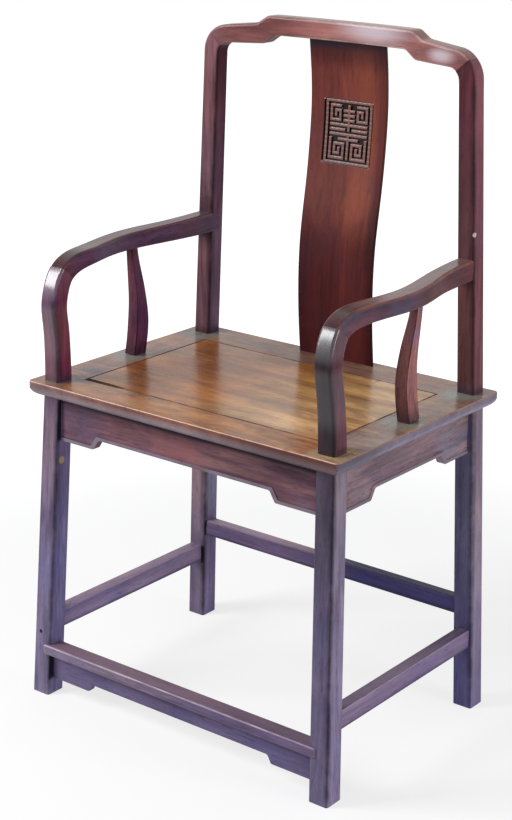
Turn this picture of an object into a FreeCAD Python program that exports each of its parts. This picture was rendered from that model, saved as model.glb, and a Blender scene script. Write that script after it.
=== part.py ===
import FreeCAD, Part
import math
import os

# An official hat chair: a square, dark hardwood armchair put together with mortises and tenons.
# Millimetres. The origin is on the floor under the middle of the chair. X points right as seen
# from the front, Y towards the back and Z up. Left and right are as seen from the front.

# Whole chair
total_height = 1037.0
seat_height = 515.0
base_width = 575.0
base_depth = 421.0
fit = 0.2                   # gap all round a tenon in its mortise
overrun = 60.0              # how far a cutting block runs past what it cuts

# Four posts, from the foot to the underside of the seat frame
foot_width = 33.0           # across the chair
foot_depth = 34.5           # front to back
post_width_under_seat = 31.6
post_depth_under_seat = 32.0
post_lean_in = 19.3         # sideways, from floor to seat
front_post_lean_back = 20.6
rear_post_lean_forward = 15.8
front_foot_setback = 0.5    # behind the footrest's face
leg_edge_radius = 3.6

# Rear stiles, above the seat
stile_width_at_seat = 30.0
stile_depth_at_seat = 30.0
stile_width_at_top = 27.6
stile_depth_at_top = 27.4
stile_lean_in = 24.9        # sideways, from the seat to the full height
stile_lean_forward = 10.6
stile_edge_radius = 4.0     # along the stiles and the crest rail

# Seat frame and panel
frame_thickness = 24.0
side_overhang = 17.5        # of the frame past the posts
front_overhang = 17.3
back_overhang = 14.5
front_rail_width = 61.0
side_rail_width = 63.5
back_rail_width = 72.5
frame_corner_radius = 7.0
edge_band = 4.5             # the upright band along the top of the frame's edge
edge_quirk = 1.2            # the small step under the band
edge_draw_in = 17.0         # how far the moulding draws in underneath
edge_swell = 3.6            # of the moulding's round past a straight slope
edge_arris = 1.4            # worn round of the top edge
panel_thickness = 12.0
panel_seam = 0.8
tongue_thickness = 4.0
tongue_length = 6.0
batten_width = 30.0
batten_spacing = 190.0
batten_tenon_width = 18.0
frame_tenon_width = 8.0
frame_tenon_thickness = 7.0
frame_tenon_length = 26.0   # past the opening
frame_tenon_rise = 6.0      # of its middle over the frame's underside
frame_tenon_inset = 8.0     # of its middle from the inner edge of the side rail
batten_tenon_length = 10.0

# Arms and the front posts above the seat
arm_rise = 188.3            # of the middle of the arm's back end over the seat
arm_bow = 17.3              # outwards, halfway along
arm_width = 28.2            # at both ends
arm_width_middle = 31.0
arm_depth_middle = 26.2
arm_depth_back = 32.0
upper_post_width = 30.2
upper_post_depth = 31.0
upper_post_lean_in = 5.3
arm_edge_radius = 4.4
arm_joint_angle = 50.0      # of the arm's line where it meets the post, in degrees
arm_tenon_size = 10.0
arm_tenon_length = 18.0

# The middle line of the post and the arm in side view: shares of the reach from the front post to
# the stile and of the rise over the seat, then how far the depth is from the arm's middle depth
# to the post's depth, and to the depth at the arm's back end
arm_side_shares = (
    (0.000, 0.000, 1.0, 0.0), (-0.006, 0.276, 1.0, 0.0), (-0.016, 0.451, 1.0, 0.0),
    (-0.028, 0.621, 1.0, 0.0), (-0.016, 0.754, 1.0, 0.0), (0.019, 0.876, 1.0, 0.0),
    (0.085, 0.938, 0.6, 0.0), (0.178, 0.960, 0.0, 0.0), (0.447, 0.976, 0.0, 0.0),
    (0.700, 0.988, 0.0, 0.4), (1.000, 1.000, 0.0, 1.0), (1.060, 1.003, 0.0, 1.0))
joint_place = 5             # of the points above, where the arm sits on the post

# The arm's middle line seen from above: shares of the reach and of the bow, then how far the width
# is from the ends' width to the middle width
arm_plan_shares = (
    (-0.100, 0.00, 0.0), (0.060, 0.01, 0.0), (0.169, 0.18, 1.0), (0.327, 0.74, 1.0), (0.449, 1.00, 1.0),
    (0.593, 0.77, 1.0), (0.730, 0.31, 0.2), (0.873, 0.03, 0.0), (1.100, 0.00, 0.0))

# The front post's middle line seen from the front: shares of the arm's rise and of the lean in,
# then how far the width is from the arm's width to the post's width
post_front_shares = (
    (0.00, 0.00, 1.0), (0.31, 0.28, 0.3), (0.62, 0.66, 0.0), (0.86, 0.97, 0.0), (1.15, 1.00, 0.0))

# Curved struts under the arms
strut_foot_width = 21.4
strut_belly_depth = 28.0
strut_top_width = 13.2
strut_top_depth = 14.2
strut_foot_inset = 10.6     # of its middle from the posts' outer face at the seat
strut_lean_out = 5.2
strut_bend = 9.0            # inwards
strut_place_share = 0.535   # of the arm's reach, from the front post
strut_edge_radius = 2.2
strut_tenon_length = 9.0
strut_tenon_size = 7.0

# The strut's middle line: shares of its height and of the bend, then how much of the foot's width
# and of the belly's depth is still there
strut_shares = (
    (0.00, 0.00, 1.00, 0.95), (0.17, 0.63, 0.99, 1.00), (0.34, 0.96, 0.96, 0.93), (0.50, 0.93, 0.83, 0.62),
    (0.69, 0.56, 0.54, 0.32), (0.85, 0.14, 0.19, 0.08), (1.04, -0.05, 0.00, 0.00))

# Crest rail
crest_depth = 28.0
crest_bow = 18.0            # backwards, at the middle
crest_height = 29.0         # top to underside, at the middle
crest_raised_width = 262.0
crest_notch_width = 237.0   # of the raised stretch underneath
crest_step = 12.4           # from the raised middle down to the shoulders
crest_under_step = 13.6
crest_step_run = 19.0
crest_shoulder_fall = 10.4  # from the step to the corner
crest_under_fall = 4.0
crest_step_radius = 15.0
crest_corner_radius = 44.0
crest_inner_radius = 19.0
crest_tenon_depth = 11.0
crest_tenon_thickness = 8.0
crest_tenon_length = 22.0
crest_tenon_rise = 6.8      # of its middle over the inner corner
crest_tenon_root = 13.0     # how far it starts inside the stile

# The crest's middle line seen from above: shares of the half width and of the bow
crest_plan_shares = (
    (-1.10, 0.00), (-0.98, 0.00), (-0.86, 0.09), (-0.55, 0.60), (-0.28, 0.90), (0.00, 1.00),
    (0.28, 0.90), (0.55, 0.60), (0.86, 0.09), (0.98, 0.00), (1.10, 0.00))

# Splat
splat_width = 139.0
splat_thickness = 6.0
splat_hollow_setback = 14.6   # of its face, at the hollow, behind the stiles' face at the seat
splat_curve = 24.0          # from the hollow of its curve to the fullest part
splat_edge_radius = 1.4
splat_tongue = 9.0          # into the crest and into the seat frame

# The splat's side view: shares of its height, and of its curve
splat_shares = (
    (-0.04, 0.475), (0.00, 0.385), (0.10, 0.158), (0.24, 0.000), (0.39, 0.115),
    (0.555, 0.600), (0.70, 0.910), (0.81, 1.000), (0.92, 0.845), (1.00, 0.625), (1.04, 0.510))

# Carved fret on the splat, drawn on a grid of squares: bars lie on odd lines, grooves on even ones
fret_width = 92.6
fret_height = 104.0
fret_foot_z = 817.5
fret_offset = 2.0           # of its middle, to the right of the splat's
fret_depth = 3.0
fret_ground_left = 4.2      # the sunk ground outside the fret's frame, widest on the left
fret_ground_right = 1.8
fret_ground_top = 1.1
fret_ground_foot = 1.4
half_bar_share = 0.5        # of a square, each side of a bar's line
fret_columns = 23
fret_rows = 29
fret_frame = ((1, 1), (21, 1), (21, 27), (1, 27), (1, 1))
fret_middle = (
    ((11, 3), (11, 13)), ((9, 5), (13, 5)), ((9, 7), (13, 7)), ((9, 9), (13, 9)),
    ((3, 11), (19, 11)), ((3, 15), (19, 15)), ((11, 15), (11, 25)), ((7, 17), (15, 17)))
fret_half = (
    ((7, 3), (3, 3), (3, 9), (7, 9), (7, 5), (5, 5), (5, 7)),
    ((3, 13), (9, 13)),
    ((3, 17), (3, 25), (9, 25), (9, 19), (5, 19), (5, 23), (7, 23), (7, 21)))

# Aprons under the seat
apron_thickness = 12.0
apron_setback = 8.5         # behind the posts' faces, under the seat
apron_depth = 67.5          # at its ends
apron_rise = 16.5           # of the lower edge, from the ends to the middle
front_left_tab = 65.0       # the deep stretches at the ends of the front apron
front_right_tab = 72.5
side_front_tab = 69.0       # and of the side aprons
side_back_tab = 63.0
apron_step_run = 10.0
apron_tip_radius = 4.0
apron_notch_radius = 5.0
apron_housing = 6.0         # into the posts
bead_width = 5.0
bead_height = 1.4
back_apron_depth = 38.0

# Footrest and its apron
footrest_top = 86.5
footrest_thickness = 17.0
footrest_depth = 30.0
footrest_lap = 12.5         # over the front of each post
footrest_nose_radius = 4.0
footrest_corner_radius = 5.0  # of its two front corners, seen from above
footrest_tenon_length = 16.0
footrest_tenon_width = 14.0
footrest_tenon_thickness = 8.0
foot_apron_thickness = 10.0
foot_apron_setback = 13.5   # behind the footrest's face
foot_apron_depth = 43.0
foot_apron_rise = 13.0
foot_apron_tab = 75.0
foot_apron_step_run = 7.0
foot_apron_housing = 5.0

# Side and back stretchers
side_stretcher_foot = 103.5
side_stretcher_height = 30.5
side_stretcher_width = 21.5
side_stretcher_setback = 4.2
back_stretcher_foot = 153.0
back_stretcher_height = 27.0
back_stretcher_width = 20.0
back_stretcher_setback = 4.0  # behind the rear posts' front face
stretcher_edge_radius = 2.6
stretcher_tenon_length = 22.0
stretcher_tenon_width = 9.0
stretcher_shoulder = 5.0    # above and below the tenon

parts = {}


def vec(x, y, z):
    return FreeCAD.Vector(x, y, z)


def along(low, high, share):
    return low + (high - low) * share


# A drawing lies in the plan (x, y), the front view (x, z) or the side view (y, z)
def placed(view, u, v):
    if view == "plan":
        return vec(u, v, 0)
    if view == "front":
        return vec(u, 0, v)
    return vec(0, u, v)


def across(view, distance):
    if view == "plan":
        return vec(0, 0, distance)
    if view == "front":
        return vec(0, distance, 0)
    return vec(distance, 0, 0)


def straight(view, start, end):
    return Part.makeLine(placed(view, *start), placed(view, *end))


def smooth(view, points):
    curve = Part.BSplineCurve()
    curve.interpolate([placed(view, *point) for point in points])
    return curve.toShape()


def prism(view, edges, low, high):
    face = Part.Face(Part.Wire(Part.__sortEdges__(edges)))
    face.translate(across(view, low))
    return face.extrude(across(view, high - low))


# A closed outline whose corners (u, v, radius) are rounded
def rounded(view, corners):
    ends = []
    count = len(corners)
    for number, (u, v, radius) in enumerate(corners):
        before = corners[number - 1]
        after = corners[(number + 1) % count]
        corner = vec(u, v, 0)
        to_before = (vec(before[0], before[1], 0) - corner).normalize()
        to_after = (vec(after[0], after[1], 0) - corner).normalize()
        half_angle = to_before.getAngle(to_after) / 2
        if radius:
            leg = radius / math.tan(half_angle)
            middle_line = (to_before + to_after).normalize()
            middle = corner + middle_line * (radius / math.sin(half_angle) - radius)
            ends.append((corner + to_before * leg, middle, corner + to_after * leg))
        else:
            ends.append((corner, None, corner))
    edges = []
    for number, (start, middle, end) in enumerate(ends):
        if middle is not None:
            three = [placed(view, point.x, point.y) for point in (start, middle, end)]
            edges.append(Part.Arc(*three).toShape())
        following = ends[(number + 1) % count][0]
        edges.append(straight(view, (end.x, end.y), (following.x, following.y)))
    return edges


# The outline of a curved member, from its middle line and its width at each point
def ribbon(view, points, widths):
    first_side = []
    second_side = []
    last = len(points) - 1
    for number, (u, v) in enumerate(points):
        before = points[max(number - 1, 0)]
        after = points[min(number + 1, last)]
        du = after[0] - before[0]
        dv = after[1] - before[1]
        reach = math.hypot(du, dv)
        half = widths[number] / 2
        first_side.append((u - dv / reach * half, v + du / reach * half))
        second_side.append((u + dv / reach * half, v - du / reach * half))
    return [smooth(view, first_side), straight(view, first_side[-1], second_side[-1]),
            smooth(view, second_side), straight(view, second_side[0], first_side[0])]


def box(low, high):
    size = high - low
    return Part.makeBox(size.x, size.y, size.z, low)


def grown(shape_box, gap):
    bounds = shape_box.BoundBox
    more = vec(gap, gap, gap)
    return box(vec(bounds.XMin, bounds.YMin, bounds.ZMin) - more,
               vec(bounds.XMax, bounds.YMax, bounds.ZMax) + more)


def long_edges(shape, axis, shortest):
    chosen = []
    for edge in shape.Edges:
        start = edge.Vertexes[0].Point
        end = edge.Vertexes[-1].Point
        if abs(getattr(end - start, axis)) > shortest:
            chosen.append(edge)
    return chosen


def other_side(shape):
    return shape.mirror(vec(0, 0, 0), vec(1, 0, 0))


def keep(name, shape):
    whole = shape.removeSplitter()
    parts[name] = whole.Solids[0] if len(whole.Solids) == 1 else whole


def keep_pair(name, shape):
    keep("right_" + name, shape)
    keep("left_" + name, other_side(shape))


# Places that several members share, on the right-hand side
frame_underside = seat_height - frame_thickness
half_base = base_width / 2
outer_x_at_seat = half_base - post_lean_in
footrest_face = -base_depth / 2
front_y_at_floor = footrest_face + front_foot_setback
front_y_at_seat = front_y_at_floor + front_post_lean_back
back_y_at_floor = base_depth / 2
back_y_at_seat = back_y_at_floor - rear_post_lean_forward
frame_half_width = outer_x_at_seat + side_overhang
frame_front = front_y_at_seat - front_overhang
frame_back = back_y_at_seat + back_overhang
opening_half_width = frame_half_width - side_rail_width
opening_front = frame_front + front_rail_width
opening_back = frame_back - back_rail_width
panel_underside = seat_height - panel_thickness


def outer_x(z):
    return along(half_base, outer_x_at_seat, z / seat_height)


def post_width(z):
    return along(foot_width, post_width_under_seat, z / frame_underside)


def post_depth(z):
    return along(foot_depth, post_depth_under_seat, z / frame_underside)


def inner_x(z):
    return outer_x(z) - post_width(z)


def front_y(z):
    return along(front_y_at_floor, front_y_at_seat, z / seat_height)


def back_y(z):
    return along(back_y_at_floor, back_y_at_seat, z / seat_height)


def stile_share(z):
    return (z - seat_height) / (total_height - seat_height)


def stile_outer_x(z):
    return outer_x_at_seat - stile_lean_in * stile_share(z)


def stile_width(z):
    return along(stile_width_at_seat, stile_width_at_top, stile_share(z))


def stile_depth(z):
    return along(stile_depth_at_seat, stile_depth_at_top, stile_share(z))


def stile_inner_x(z):
    return stile_outer_x(z) - stile_width(z)


def stile_back_y(z):
    return back_y_at_seat - stile_lean_forward * stile_share(z)


def stile_front_y(z):
    return stile_back_y(z) - stile_depth(z)


# Lower half of a post: four flat faces that taper and lean, with softened edges
def leg(face_y, depth_sign):
    top = frame_underside
    front = [(inner_x(0), 0), (outer_x(0), 0), (outer_x(top), top), (inner_x(top), top)]
    side = [(face_y(0), 0), (face_y(0) + depth_sign * post_depth(0), 0),
            (face_y(top) + depth_sign * post_depth(top), top), (face_y(top), top)]
    from_front = prism("front", rounded("front", [(u, v, 0) for u, v in front]), -base_depth, base_depth)
    from_side = prism("side", rounded("side", [(u, v, 0) for u, v in side]), 0, base_width)
    blank = from_front.common(from_side)
    return blank.makeFillet(leg_edge_radius, long_edges(blank, "z", top / 2))


# Arm and upper front post. Both follow one line in the side view.
arm_back_z = seat_height + arm_rise
arm_front_y = front_y_at_seat + upper_post_depth / 2
arm_back_y = stile_front_y(arm_back_z)
arm_reach = arm_back_y - arm_front_y
post_x = outer_x_at_seat - upper_post_width / 2
arm_front_x = post_x - upper_post_lean_in
arm_back_x = stile_outer_x(arm_back_z) - stile_width(arm_back_z) / 2


def arm_side_point(reach, rise):
    return arm_front_y + reach * arm_reach, seat_height + rise * arm_rise


def arm_side_view(gap):
    foot_y = front_y(frame_underside) + post_depth_under_seat / 2
    line = [(foot_y, frame_underside)]
    depths = [upper_post_depth]
    for reach, rise, front_share, back_share in arm_side_shares:
        line.append(arm_side_point(reach, rise))
        more_in_front = front_share * (upper_post_depth - arm_depth_middle)
        more_at_back = back_share * (arm_depth_back - arm_depth_middle)
        depths.append(arm_depth_middle + more_in_front + more_at_back)
    return ribbon("side", line, [depth + 2 * gap for depth in depths])


def joint_block():
    reach, rise = arm_side_shares[joint_place][:2]
    y, z = arm_side_point(reach, rise)
    angle = math.radians(arm_joint_angle)
    run_y, run_z = math.cos(angle) * arm_reach, math.sin(angle) * arm_reach
    corners = [(y + run_z, z - run_y), (y - run_z, z + run_y),
               (y - run_z + run_y, z + run_y + run_z), (y + run_z + run_y, z - run_y + run_z)]
    return prism("side", rounded("side", [(u, v, 0) for u, v in corners]), 0, base_width)


def joint_tenon(gap):
    reach, rise = arm_side_shares[joint_place][:2]
    y, z = arm_side_point(reach, rise)
    half = arm_tenon_size / 2 + gap
    tenon = box(vec(-half, -arm_tenon_size, -half), vec(half, arm_tenon_length + gap, half))
    tenon.rotate(vec(0, 0, 0), vec(1, 0, 0), arm_joint_angle)
    tenon.translate(vec(arm_front_x, y, z))
    return tenon


def upper_post(gap):
    places = [(outer_x(frame_underside) - post_width_under_seat / 2, frame_underside)]
    widths = [upper_post_width]
    for rise, lean, width_share in post_front_shares:
        places.append((post_x - lean * upper_post_lean_in, seat_height + rise * arm_rise))
        widths.append(along(arm_width, upper_post_width, width_share))
    outline = ribbon("front", places, [width + 2 * gap for width in widths])
    from_front = prism("front", outline, -base_depth, 0)
    from_side = prism("side", arm_side_view(gap), 0, base_width)
    blank = from_side.common(from_front).cut(joint_block())
    return blank.makeFillet(arm_edge_radius, long_edges(blank, "z", arm_rise / 2))


def arm_blank():
    line = []
    widths = []
    for reach, bow, width_share in arm_plan_shares:
        x = along(arm_front_x, arm_back_x, reach) + bow * arm_bow
        line.append((x, arm_front_y + reach * arm_reach))
        widths.append(along(arm_width, arm_width_middle, width_share))
    from_above = prism("plan", ribbon("plan", line, widths), seat_height, total_height)
    from_side = prism("side", arm_side_view(0), 0, base_width)
    blank = from_side.common(from_above).common(joint_block())
    return blank.makeFillet(arm_edge_radius, long_edges(blank, "y", arm_reach / 2))


# Strut: bent inwards in the front view, and slimmer towards the arm
strut_y = arm_front_y + strut_place_share * arm_reach
strut_foot_x = outer_x_at_seat - strut_foot_inset
strut_height = arm_rise - arm_depth_middle / 2


def strut_blank():
    from_front = []
    from_side = []
    widths = []
    depths = []
    for height, bend, width_share, depth_share in strut_shares:
        z = seat_height + height * strut_height
        from_front.append((strut_foot_x + height * strut_lean_out - bend * strut_bend, z))
        from_side.append((strut_y, z))
        widths.append(along(strut_top_width, strut_foot_width, width_share))
        depths.append(along(strut_top_depth, strut_belly_depth, depth_share))
    blank = prism("front", ribbon("front", from_front, widths), -base_depth, base_depth)
    blank = blank.common(prism("side", ribbon("side", from_side, depths), 0, base_width))
    blank = blank.makeFillet(strut_edge_radius, long_edges(blank, "z", strut_height / 2))
    return blank.common(box(vec(0, -base_depth, seat_height), vec(base_width, base_depth, total_height)))


def strut_tenon(x, low, high):
    half = strut_tenon_size / 2
    return box(vec(x - half, strut_y - half, low), vec(x + half, strut_y + half, high))


# Crest rail and stiles, drawn together from the front so that they meet in a mitre
crest_corner_z = total_height - crest_step - crest_shoulder_fall
crest_under_z = total_height - crest_height
crest_inner_z = crest_under_z - crest_under_step - crest_under_fall


def crest_front_view(gap):
    half = []
    foot = frame_underside
    raised = crest_raised_width / 2
    notch = crest_notch_width / 2
    half.append((raised, total_height, crest_step_radius))
    half.append((raised + crest_step_run, total_height - crest_step, crest_step_radius))
    half.append((stile_outer_x(crest_corner_z), crest_corner_z, crest_corner_radius))
    half.append((stile_outer_x(foot) + gap, foot, 0))
    half.append((stile_inner_x(foot) - gap, foot, 0))
    half.append((stile_inner_x(crest_inner_z), crest_inner_z, crest_inner_radius))
    half.append((notch + crest_step_run, crest_under_z - crest_under_step, crest_step_radius))
    half.append((notch, crest_under_z, crest_step_radius))
    return rounded("front", half + [(-x, z, radius) for x, z, radius in reversed(half)])


def mitre_block():
    inner = (stile_inner_x(crest_inner_z), crest_inner_z)
    outer = (stile_outer_x(crest_corner_z), crest_corner_z)
    run = math.hypot(outer[0] - inner[0], outer[1] - inner[1])
    u = (outer[0] - inner[0]) / run * total_height
    v = (outer[1] - inner[1]) / run * total_height
    corners = [(inner[0] - u, inner[1] - v), (inner[0] + u, inner[1] + v),
               (inner[0] + u + v, inner[1] + v - u), (inner[0] - u + v, inner[1] - v - u)]
    block = prism("front", rounded("front", [(x, z, 0) for x, z in corners]), -base_depth, base_depth)
    return block.common(box(vec(0, -base_depth, 0), vec(base_width, base_depth, total_height)))


def crest_tenon_box():
    middle_y = (stile_front_y(crest_inner_z) + stile_back_y(crest_inner_z)) / 2
    start = stile_inner_x(crest_inner_z) + crest_tenon_root
    middle_z = crest_inner_z + crest_tenon_rise
    half_y, half_z = crest_tenon_depth / 2, crest_tenon_thickness / 2
    return box(vec(start - crest_tenon_length, middle_y - half_y, middle_z - half_z),
               vec(start, middle_y + half_y, middle_z + half_z))


def crest_rail_blank():
    half_width = stile_outer_x(crest_corner_z)
    end_y = (stile_front_y(crest_corner_z) + stile_back_y(crest_corner_z)) / 2
    line = [(x * half_width, end_y + bow * crest_bow) for x, bow in crest_plan_shares]
    depths = [along(stile_depth(crest_corner_z), crest_depth, bow) for x, bow in crest_plan_shares]
    from_above = prism("plan", ribbon("plan", line, depths), seat_height, total_height + overrun)
    from_front = prism("front", crest_front_view(0), 0, base_depth)
    blank = from_front.common(from_above)
    block = mitre_block()
    blank = blank.cut([block, other_side(block)])
    return blank.makeFillet(stile_edge_radius, long_edges(blank, "x", crest_notch_width / 2))


def stile(gap):
    low, high = frame_underside, total_height
    side = [(stile_front_y(low) - gap, low), (stile_back_y(low) + gap, low),
            (stile_back_y(high) + gap, high), (stile_front_y(high) - gap, high)]
    from_side = prism("side", rounded("side", [(u, v, 0) for u, v in side]), 0, base_width)
    from_front = prism("front", crest_front_view(gap), 0, base_depth)
    blank = from_front.common(from_side).common(mitre_block())
    return blank.makeFillet(stile_edge_radius, long_edges(blank, "z", (high - low) / 2))


# Splat
splat_height = crest_under_z - seat_height
splat_hollow_y = stile_front_y(seat_height) + splat_hollow_setback


def splat_ribbon(behind_face, thickness):
    line = [(splat_hollow_y + curve * splat_curve + behind_face, seat_height + height * splat_height)
            for height, curve in splat_shares]
    return ribbon("side", line, [thickness] * len(line))


def splat_blank(gap):
    half = splat_width / 2 + gap
    body = prism("side", splat_ribbon(splat_thickness / 2, splat_thickness + 2 * gap), -half, half)
    body = body.makeFillet(splat_edge_radius, long_edges(body, "z", splat_height / 2))
    low = seat_height - splat_tongue - gap
    high = crest_under_z + splat_tongue + gap
    return body.common(box(vec(-half, 0, low), vec(half, base_depth, high)))


def fret_bars(stroke, sign, column, row):
    bars = []
    middle = (fret_columns - 1) / 2
    for (u1, v1), (u2, v2) in zip(stroke, stroke[1:]):
        left, right = sorted((sign * (u1 - middle), sign * (u2 - middle)))
        low, high = sorted((fret_rows - 1 - v1, fret_rows - 1 - v2))
        bars.append(box(vec(fret_offset + (left - half_bar_share) * column, 0, fret_foot_z + low * row),
                        vec(fret_offset + (right + half_bar_share) * column, base_depth,
                            fret_foot_z + (high + 1) * row)))
    return bars


def fret_grooves():
    column = fret_width / fret_columns
    row = fret_height / fret_rows
    left = fret_offset - fret_width / 2 + column - fret_ground_left
    right = fret_offset + fret_width / 2 - column + fret_ground_right
    low = fret_foot_z + row - fret_ground_foot
    high = fret_foot_z + fret_height - row + fret_ground_top
    corners = [(left + column, low), (right - column, low), (right, low + row), (right, high - row),
               (right - column, high), (left + column, high), (left, high - row), (left, low + row)]
    field = prism("front", rounded("front", [(u, v, 0) for u, v in corners]), 0, base_depth)
    bars = []
    for stroke in (fret_frame,) + fret_middle + fret_half:
        bars += fret_bars(stroke, 1, column, row)
    for stroke in fret_half:
        bars += fret_bars(stroke, -1, column, row)
    layer = prism("side", splat_ribbon(0, 2 * fret_depth), -fret_width, fret_width)
    return field.cut(bars).common(layer)


# Seat frame: one moulded ring, then sawn into four rails along its mitres
def moulded(view, left, right):
    low, high = frame_underside, seat_height
    band = high - edge_band
    edges = [straight(view, (left, band), (left, high)), straight(view, (left, high), (right, high)),
             straight(view, (right, high), (right, band)),
             straight(view, (left + edge_draw_in, low), (right - edge_draw_in, low))]
    for edge, sign in ((left, 1), (right, -1)):
        start = (edge + sign * edge_quirk, band)
        end = (edge + sign * edge_draw_in, low)
        middle = ((start[0] + end[0]) / 2 - sign * edge_swell, (start[1] + end[1]) / 2 - edge_swell)
        edges.append(straight(view, (edge, band), start))
        edges.append(Part.Arc(placed(view, *start), placed(view, *middle), placed(view, *end)).toShape())
    return edges


def seat_ring():
    x, low, high = frame_half_width, frame_underside, seat_height
    block = prism("front", moulded("front", -x, x), -base_depth, base_depth)
    block = block.common(prism("side", moulded("side", frame_front, frame_back), -base_width, base_width))
    corners = [(-x, frame_front), (x, frame_front), (x, frame_back), (-x, frame_back)]
    plan = rounded("plan", [(u, v, frame_corner_radius) for u, v in corners])
    block = block.common(prism("plan", plan, low, high))
    top_edges = [edge for edge in block.Edges if edge.BoundBox.ZMin > high - edge_arris]
    block = block.makeFillet(edge_arris, top_edges)
    opening = box(vec(-opening_half_width, opening_front, low), vec(opening_half_width, opening_back, high))
    reach = tongue_length + panel_seam
    groove_top = panel_underside + tongue_thickness + fit
    groove = box(vec(-opening_half_width - reach, opening_front - reach, panel_underside),
                 vec(opening_half_width + reach, opening_back + reach, groove_top))
    return block.cut([opening, groove])


def sawn(ring, corners):
    return ring.common(prism("plan", rounded("plan", [(u, v, 0) for u, v in corners]), 0, total_height))


def seat_panel():
    low = panel_underside
    half_x = opening_half_width - panel_seam
    board = box(vec(-half_x, opening_front + panel_seam, low),
                vec(half_x, opening_back - panel_seam, seat_height))
    reach = tongue_length
    tongue = box(vec(-opening_half_width - reach, opening_front - reach, low),
                 vec(opening_half_width + reach, opening_back + reach, low + tongue_thickness))
    return board.fuse(tongue)


# Aprons. The outline is deep at both ends and stepped up to a shallower middle.
def apron_outline(view, ends, tips, step_run, low, high, top):
    corners = [(ends[1], top, 0), (ends[1], low, 0), (tips[1], low, apron_tip_radius),
               (tips[1] - step_run, high, apron_notch_radius),
               (tips[0] + step_run, high, apron_notch_radius),
               (tips[0], low, apron_tip_radius), (ends[0], low, 0), (ends[0], top, 0)]
    return rounded(view, corners)


# A shaped board between two posts, with a bead along its lower edge. Its face looks away from the
# chair's middle, and inward is the sign of the way from the face into the board.
def shaped_apron(view, post_faces, tabs, face, inward):
    ends = (post_faces[0] - apron_housing, post_faces[1] + apron_housing)
    tips = (post_faces[0] + tabs[0], post_faces[1] - tabs[1])
    inner_tips = (tips[0] - bead_width, tips[1] + bead_width)
    low = frame_underside - apron_depth
    high = low + apron_rise
    whole = apron_outline(view, ends, tips, apron_step_run, low, high, frame_underside)
    above_bead = apron_outline(view, ends, inner_tips, apron_step_run, low + bead_width,
                               high + bead_width, frame_underside)
    board = prism(view, whole, *sorted((face, face + inward * apron_thickness)))
    proud = sorted((face, face - inward * bead_height))
    bead = prism(view, whole, *proud).cut(prism(view, above_bead, *proud))
    return board.fuse(bead.cut(raw_legs))


# A bar with softened long edges, trimmed by the posts, and with a tenon at each end
def joined_bar(bar, low, high, axis, radius, tenon):
    length = getattr(high - low, axis)
    bar = bar.makeFillet(radius, long_edges(bar, axis, length / 2))
    return bar.cut(raw_legs).fuse(tenon)


front_leg = leg(front_y, 1)
rear_leg = leg(back_y, -1)
raw_legs = [front_leg, rear_leg, other_side(front_leg), other_side(rear_leg)]
front_cuts = []             # mortises in the right front post
rear_cuts = []              # mortises in the right rear post

# Crest rail and splat
crest_tenon = crest_tenon_box()
crest_mortise = grown(crest_tenon, fit)
splat_mortise = splat_blank(fit)
crest_rail = crest_rail_blank().cut([splat_mortise, crest_mortise, other_side(crest_mortise)])
keep("crest_rail", crest_rail)
keep("back_splat", splat_blank(0).cut(fret_grooves()))

# Arms and struts
raw_stile = stile(0)
raw_arm = arm_blank().cut(raw_stile)
half = arm_tenon_size / 2
arm_tenon = box(vec(arm_back_x - half, arm_back_y - arm_tenon_size, arm_back_z - half),
                vec(arm_back_x + half, arm_back_y + arm_tenon_length, arm_back_z + half))
rear_cuts.append(grown(arm_tenon, fit))
strut_top = seat_height + strut_height
foot_tenon = strut_tenon(strut_foot_x, seat_height - strut_tenon_length, seat_height + strut_tenon_length)
top_tenon = strut_tenon(strut_foot_x + strut_lean_out, strut_top - strut_tenon_length,
                        strut_top + strut_tenon_length)
strut = strut_blank().cut(raw_arm).fuse([foot_tenon, top_tenon])
keep_pair("arm_strut", strut)
keep_pair("arm", raw_arm.fuse(arm_tenon).cut([joint_tenon(fit), grown(top_tenon, fit)]))

# Seat frame, its panel and the battens under the panel
post_holes = [upper_post(fit), stile(fit)]
ring = seat_ring().cut(post_holes + [other_side(hole) for hole in post_holes])
tenon_x = opening_half_width + frame_tenon_inset
tenon_z = frame_underside + frame_tenon_rise
low_z = tenon_z - frame_tenon_thickness / 2
high_z = tenon_z + frame_tenon_thickness / 2
side_tenon = box(vec(tenon_x - frame_tenon_width / 2, opening_front - frame_tenon_length, low_z),
                 vec(tenon_x + frame_tenon_width / 2, opening_back + frame_tenon_length, high_z))
batten_x = batten_spacing / 2
batten_body = box(vec(batten_x - batten_width / 2, opening_front, frame_underside),
                  vec(batten_x + batten_width / 2, opening_back, panel_underside))
batten_tenon = box(vec(batten_x - batten_tenon_width / 2, opening_front - batten_tenon_length, low_z),
                   vec(batten_x + batten_tenon_width / 2, opening_back + batten_tenon_length, high_z))
rail_cuts = [grown(side_tenon, fit), grown(batten_tenon, fit)]
rail_cuts += [other_side(cut) for cut in rail_cuts]
x, front, back = frame_half_width, frame_front, frame_back
inner, inner_front, inner_back = opening_half_width, opening_front, opening_back
front_rail = sawn(ring, [(-x, front), (x, front), (inner, inner_front), (-inner, inner_front)])
back_rail = sawn(ring, [(-x, back), (x, back), (inner, inner_back), (-inner, inner_back)])
side_rail = sawn(ring, [(x, front), (x, back), (inner, inner_back), (inner, inner_front)])
keep("seat_front_rail", front_rail.cut(rail_cuts))
keep("seat_back_rail", back_rail.cut(rail_cuts + [splat_mortise]))
keep_pair("seat_rail", side_rail.fuse(side_tenon).cut(grown(foot_tenon, fit)))
keep_pair("seat_batten", batten_body.fuse(batten_tenon))
keep("seat_panel", seat_panel())

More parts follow.
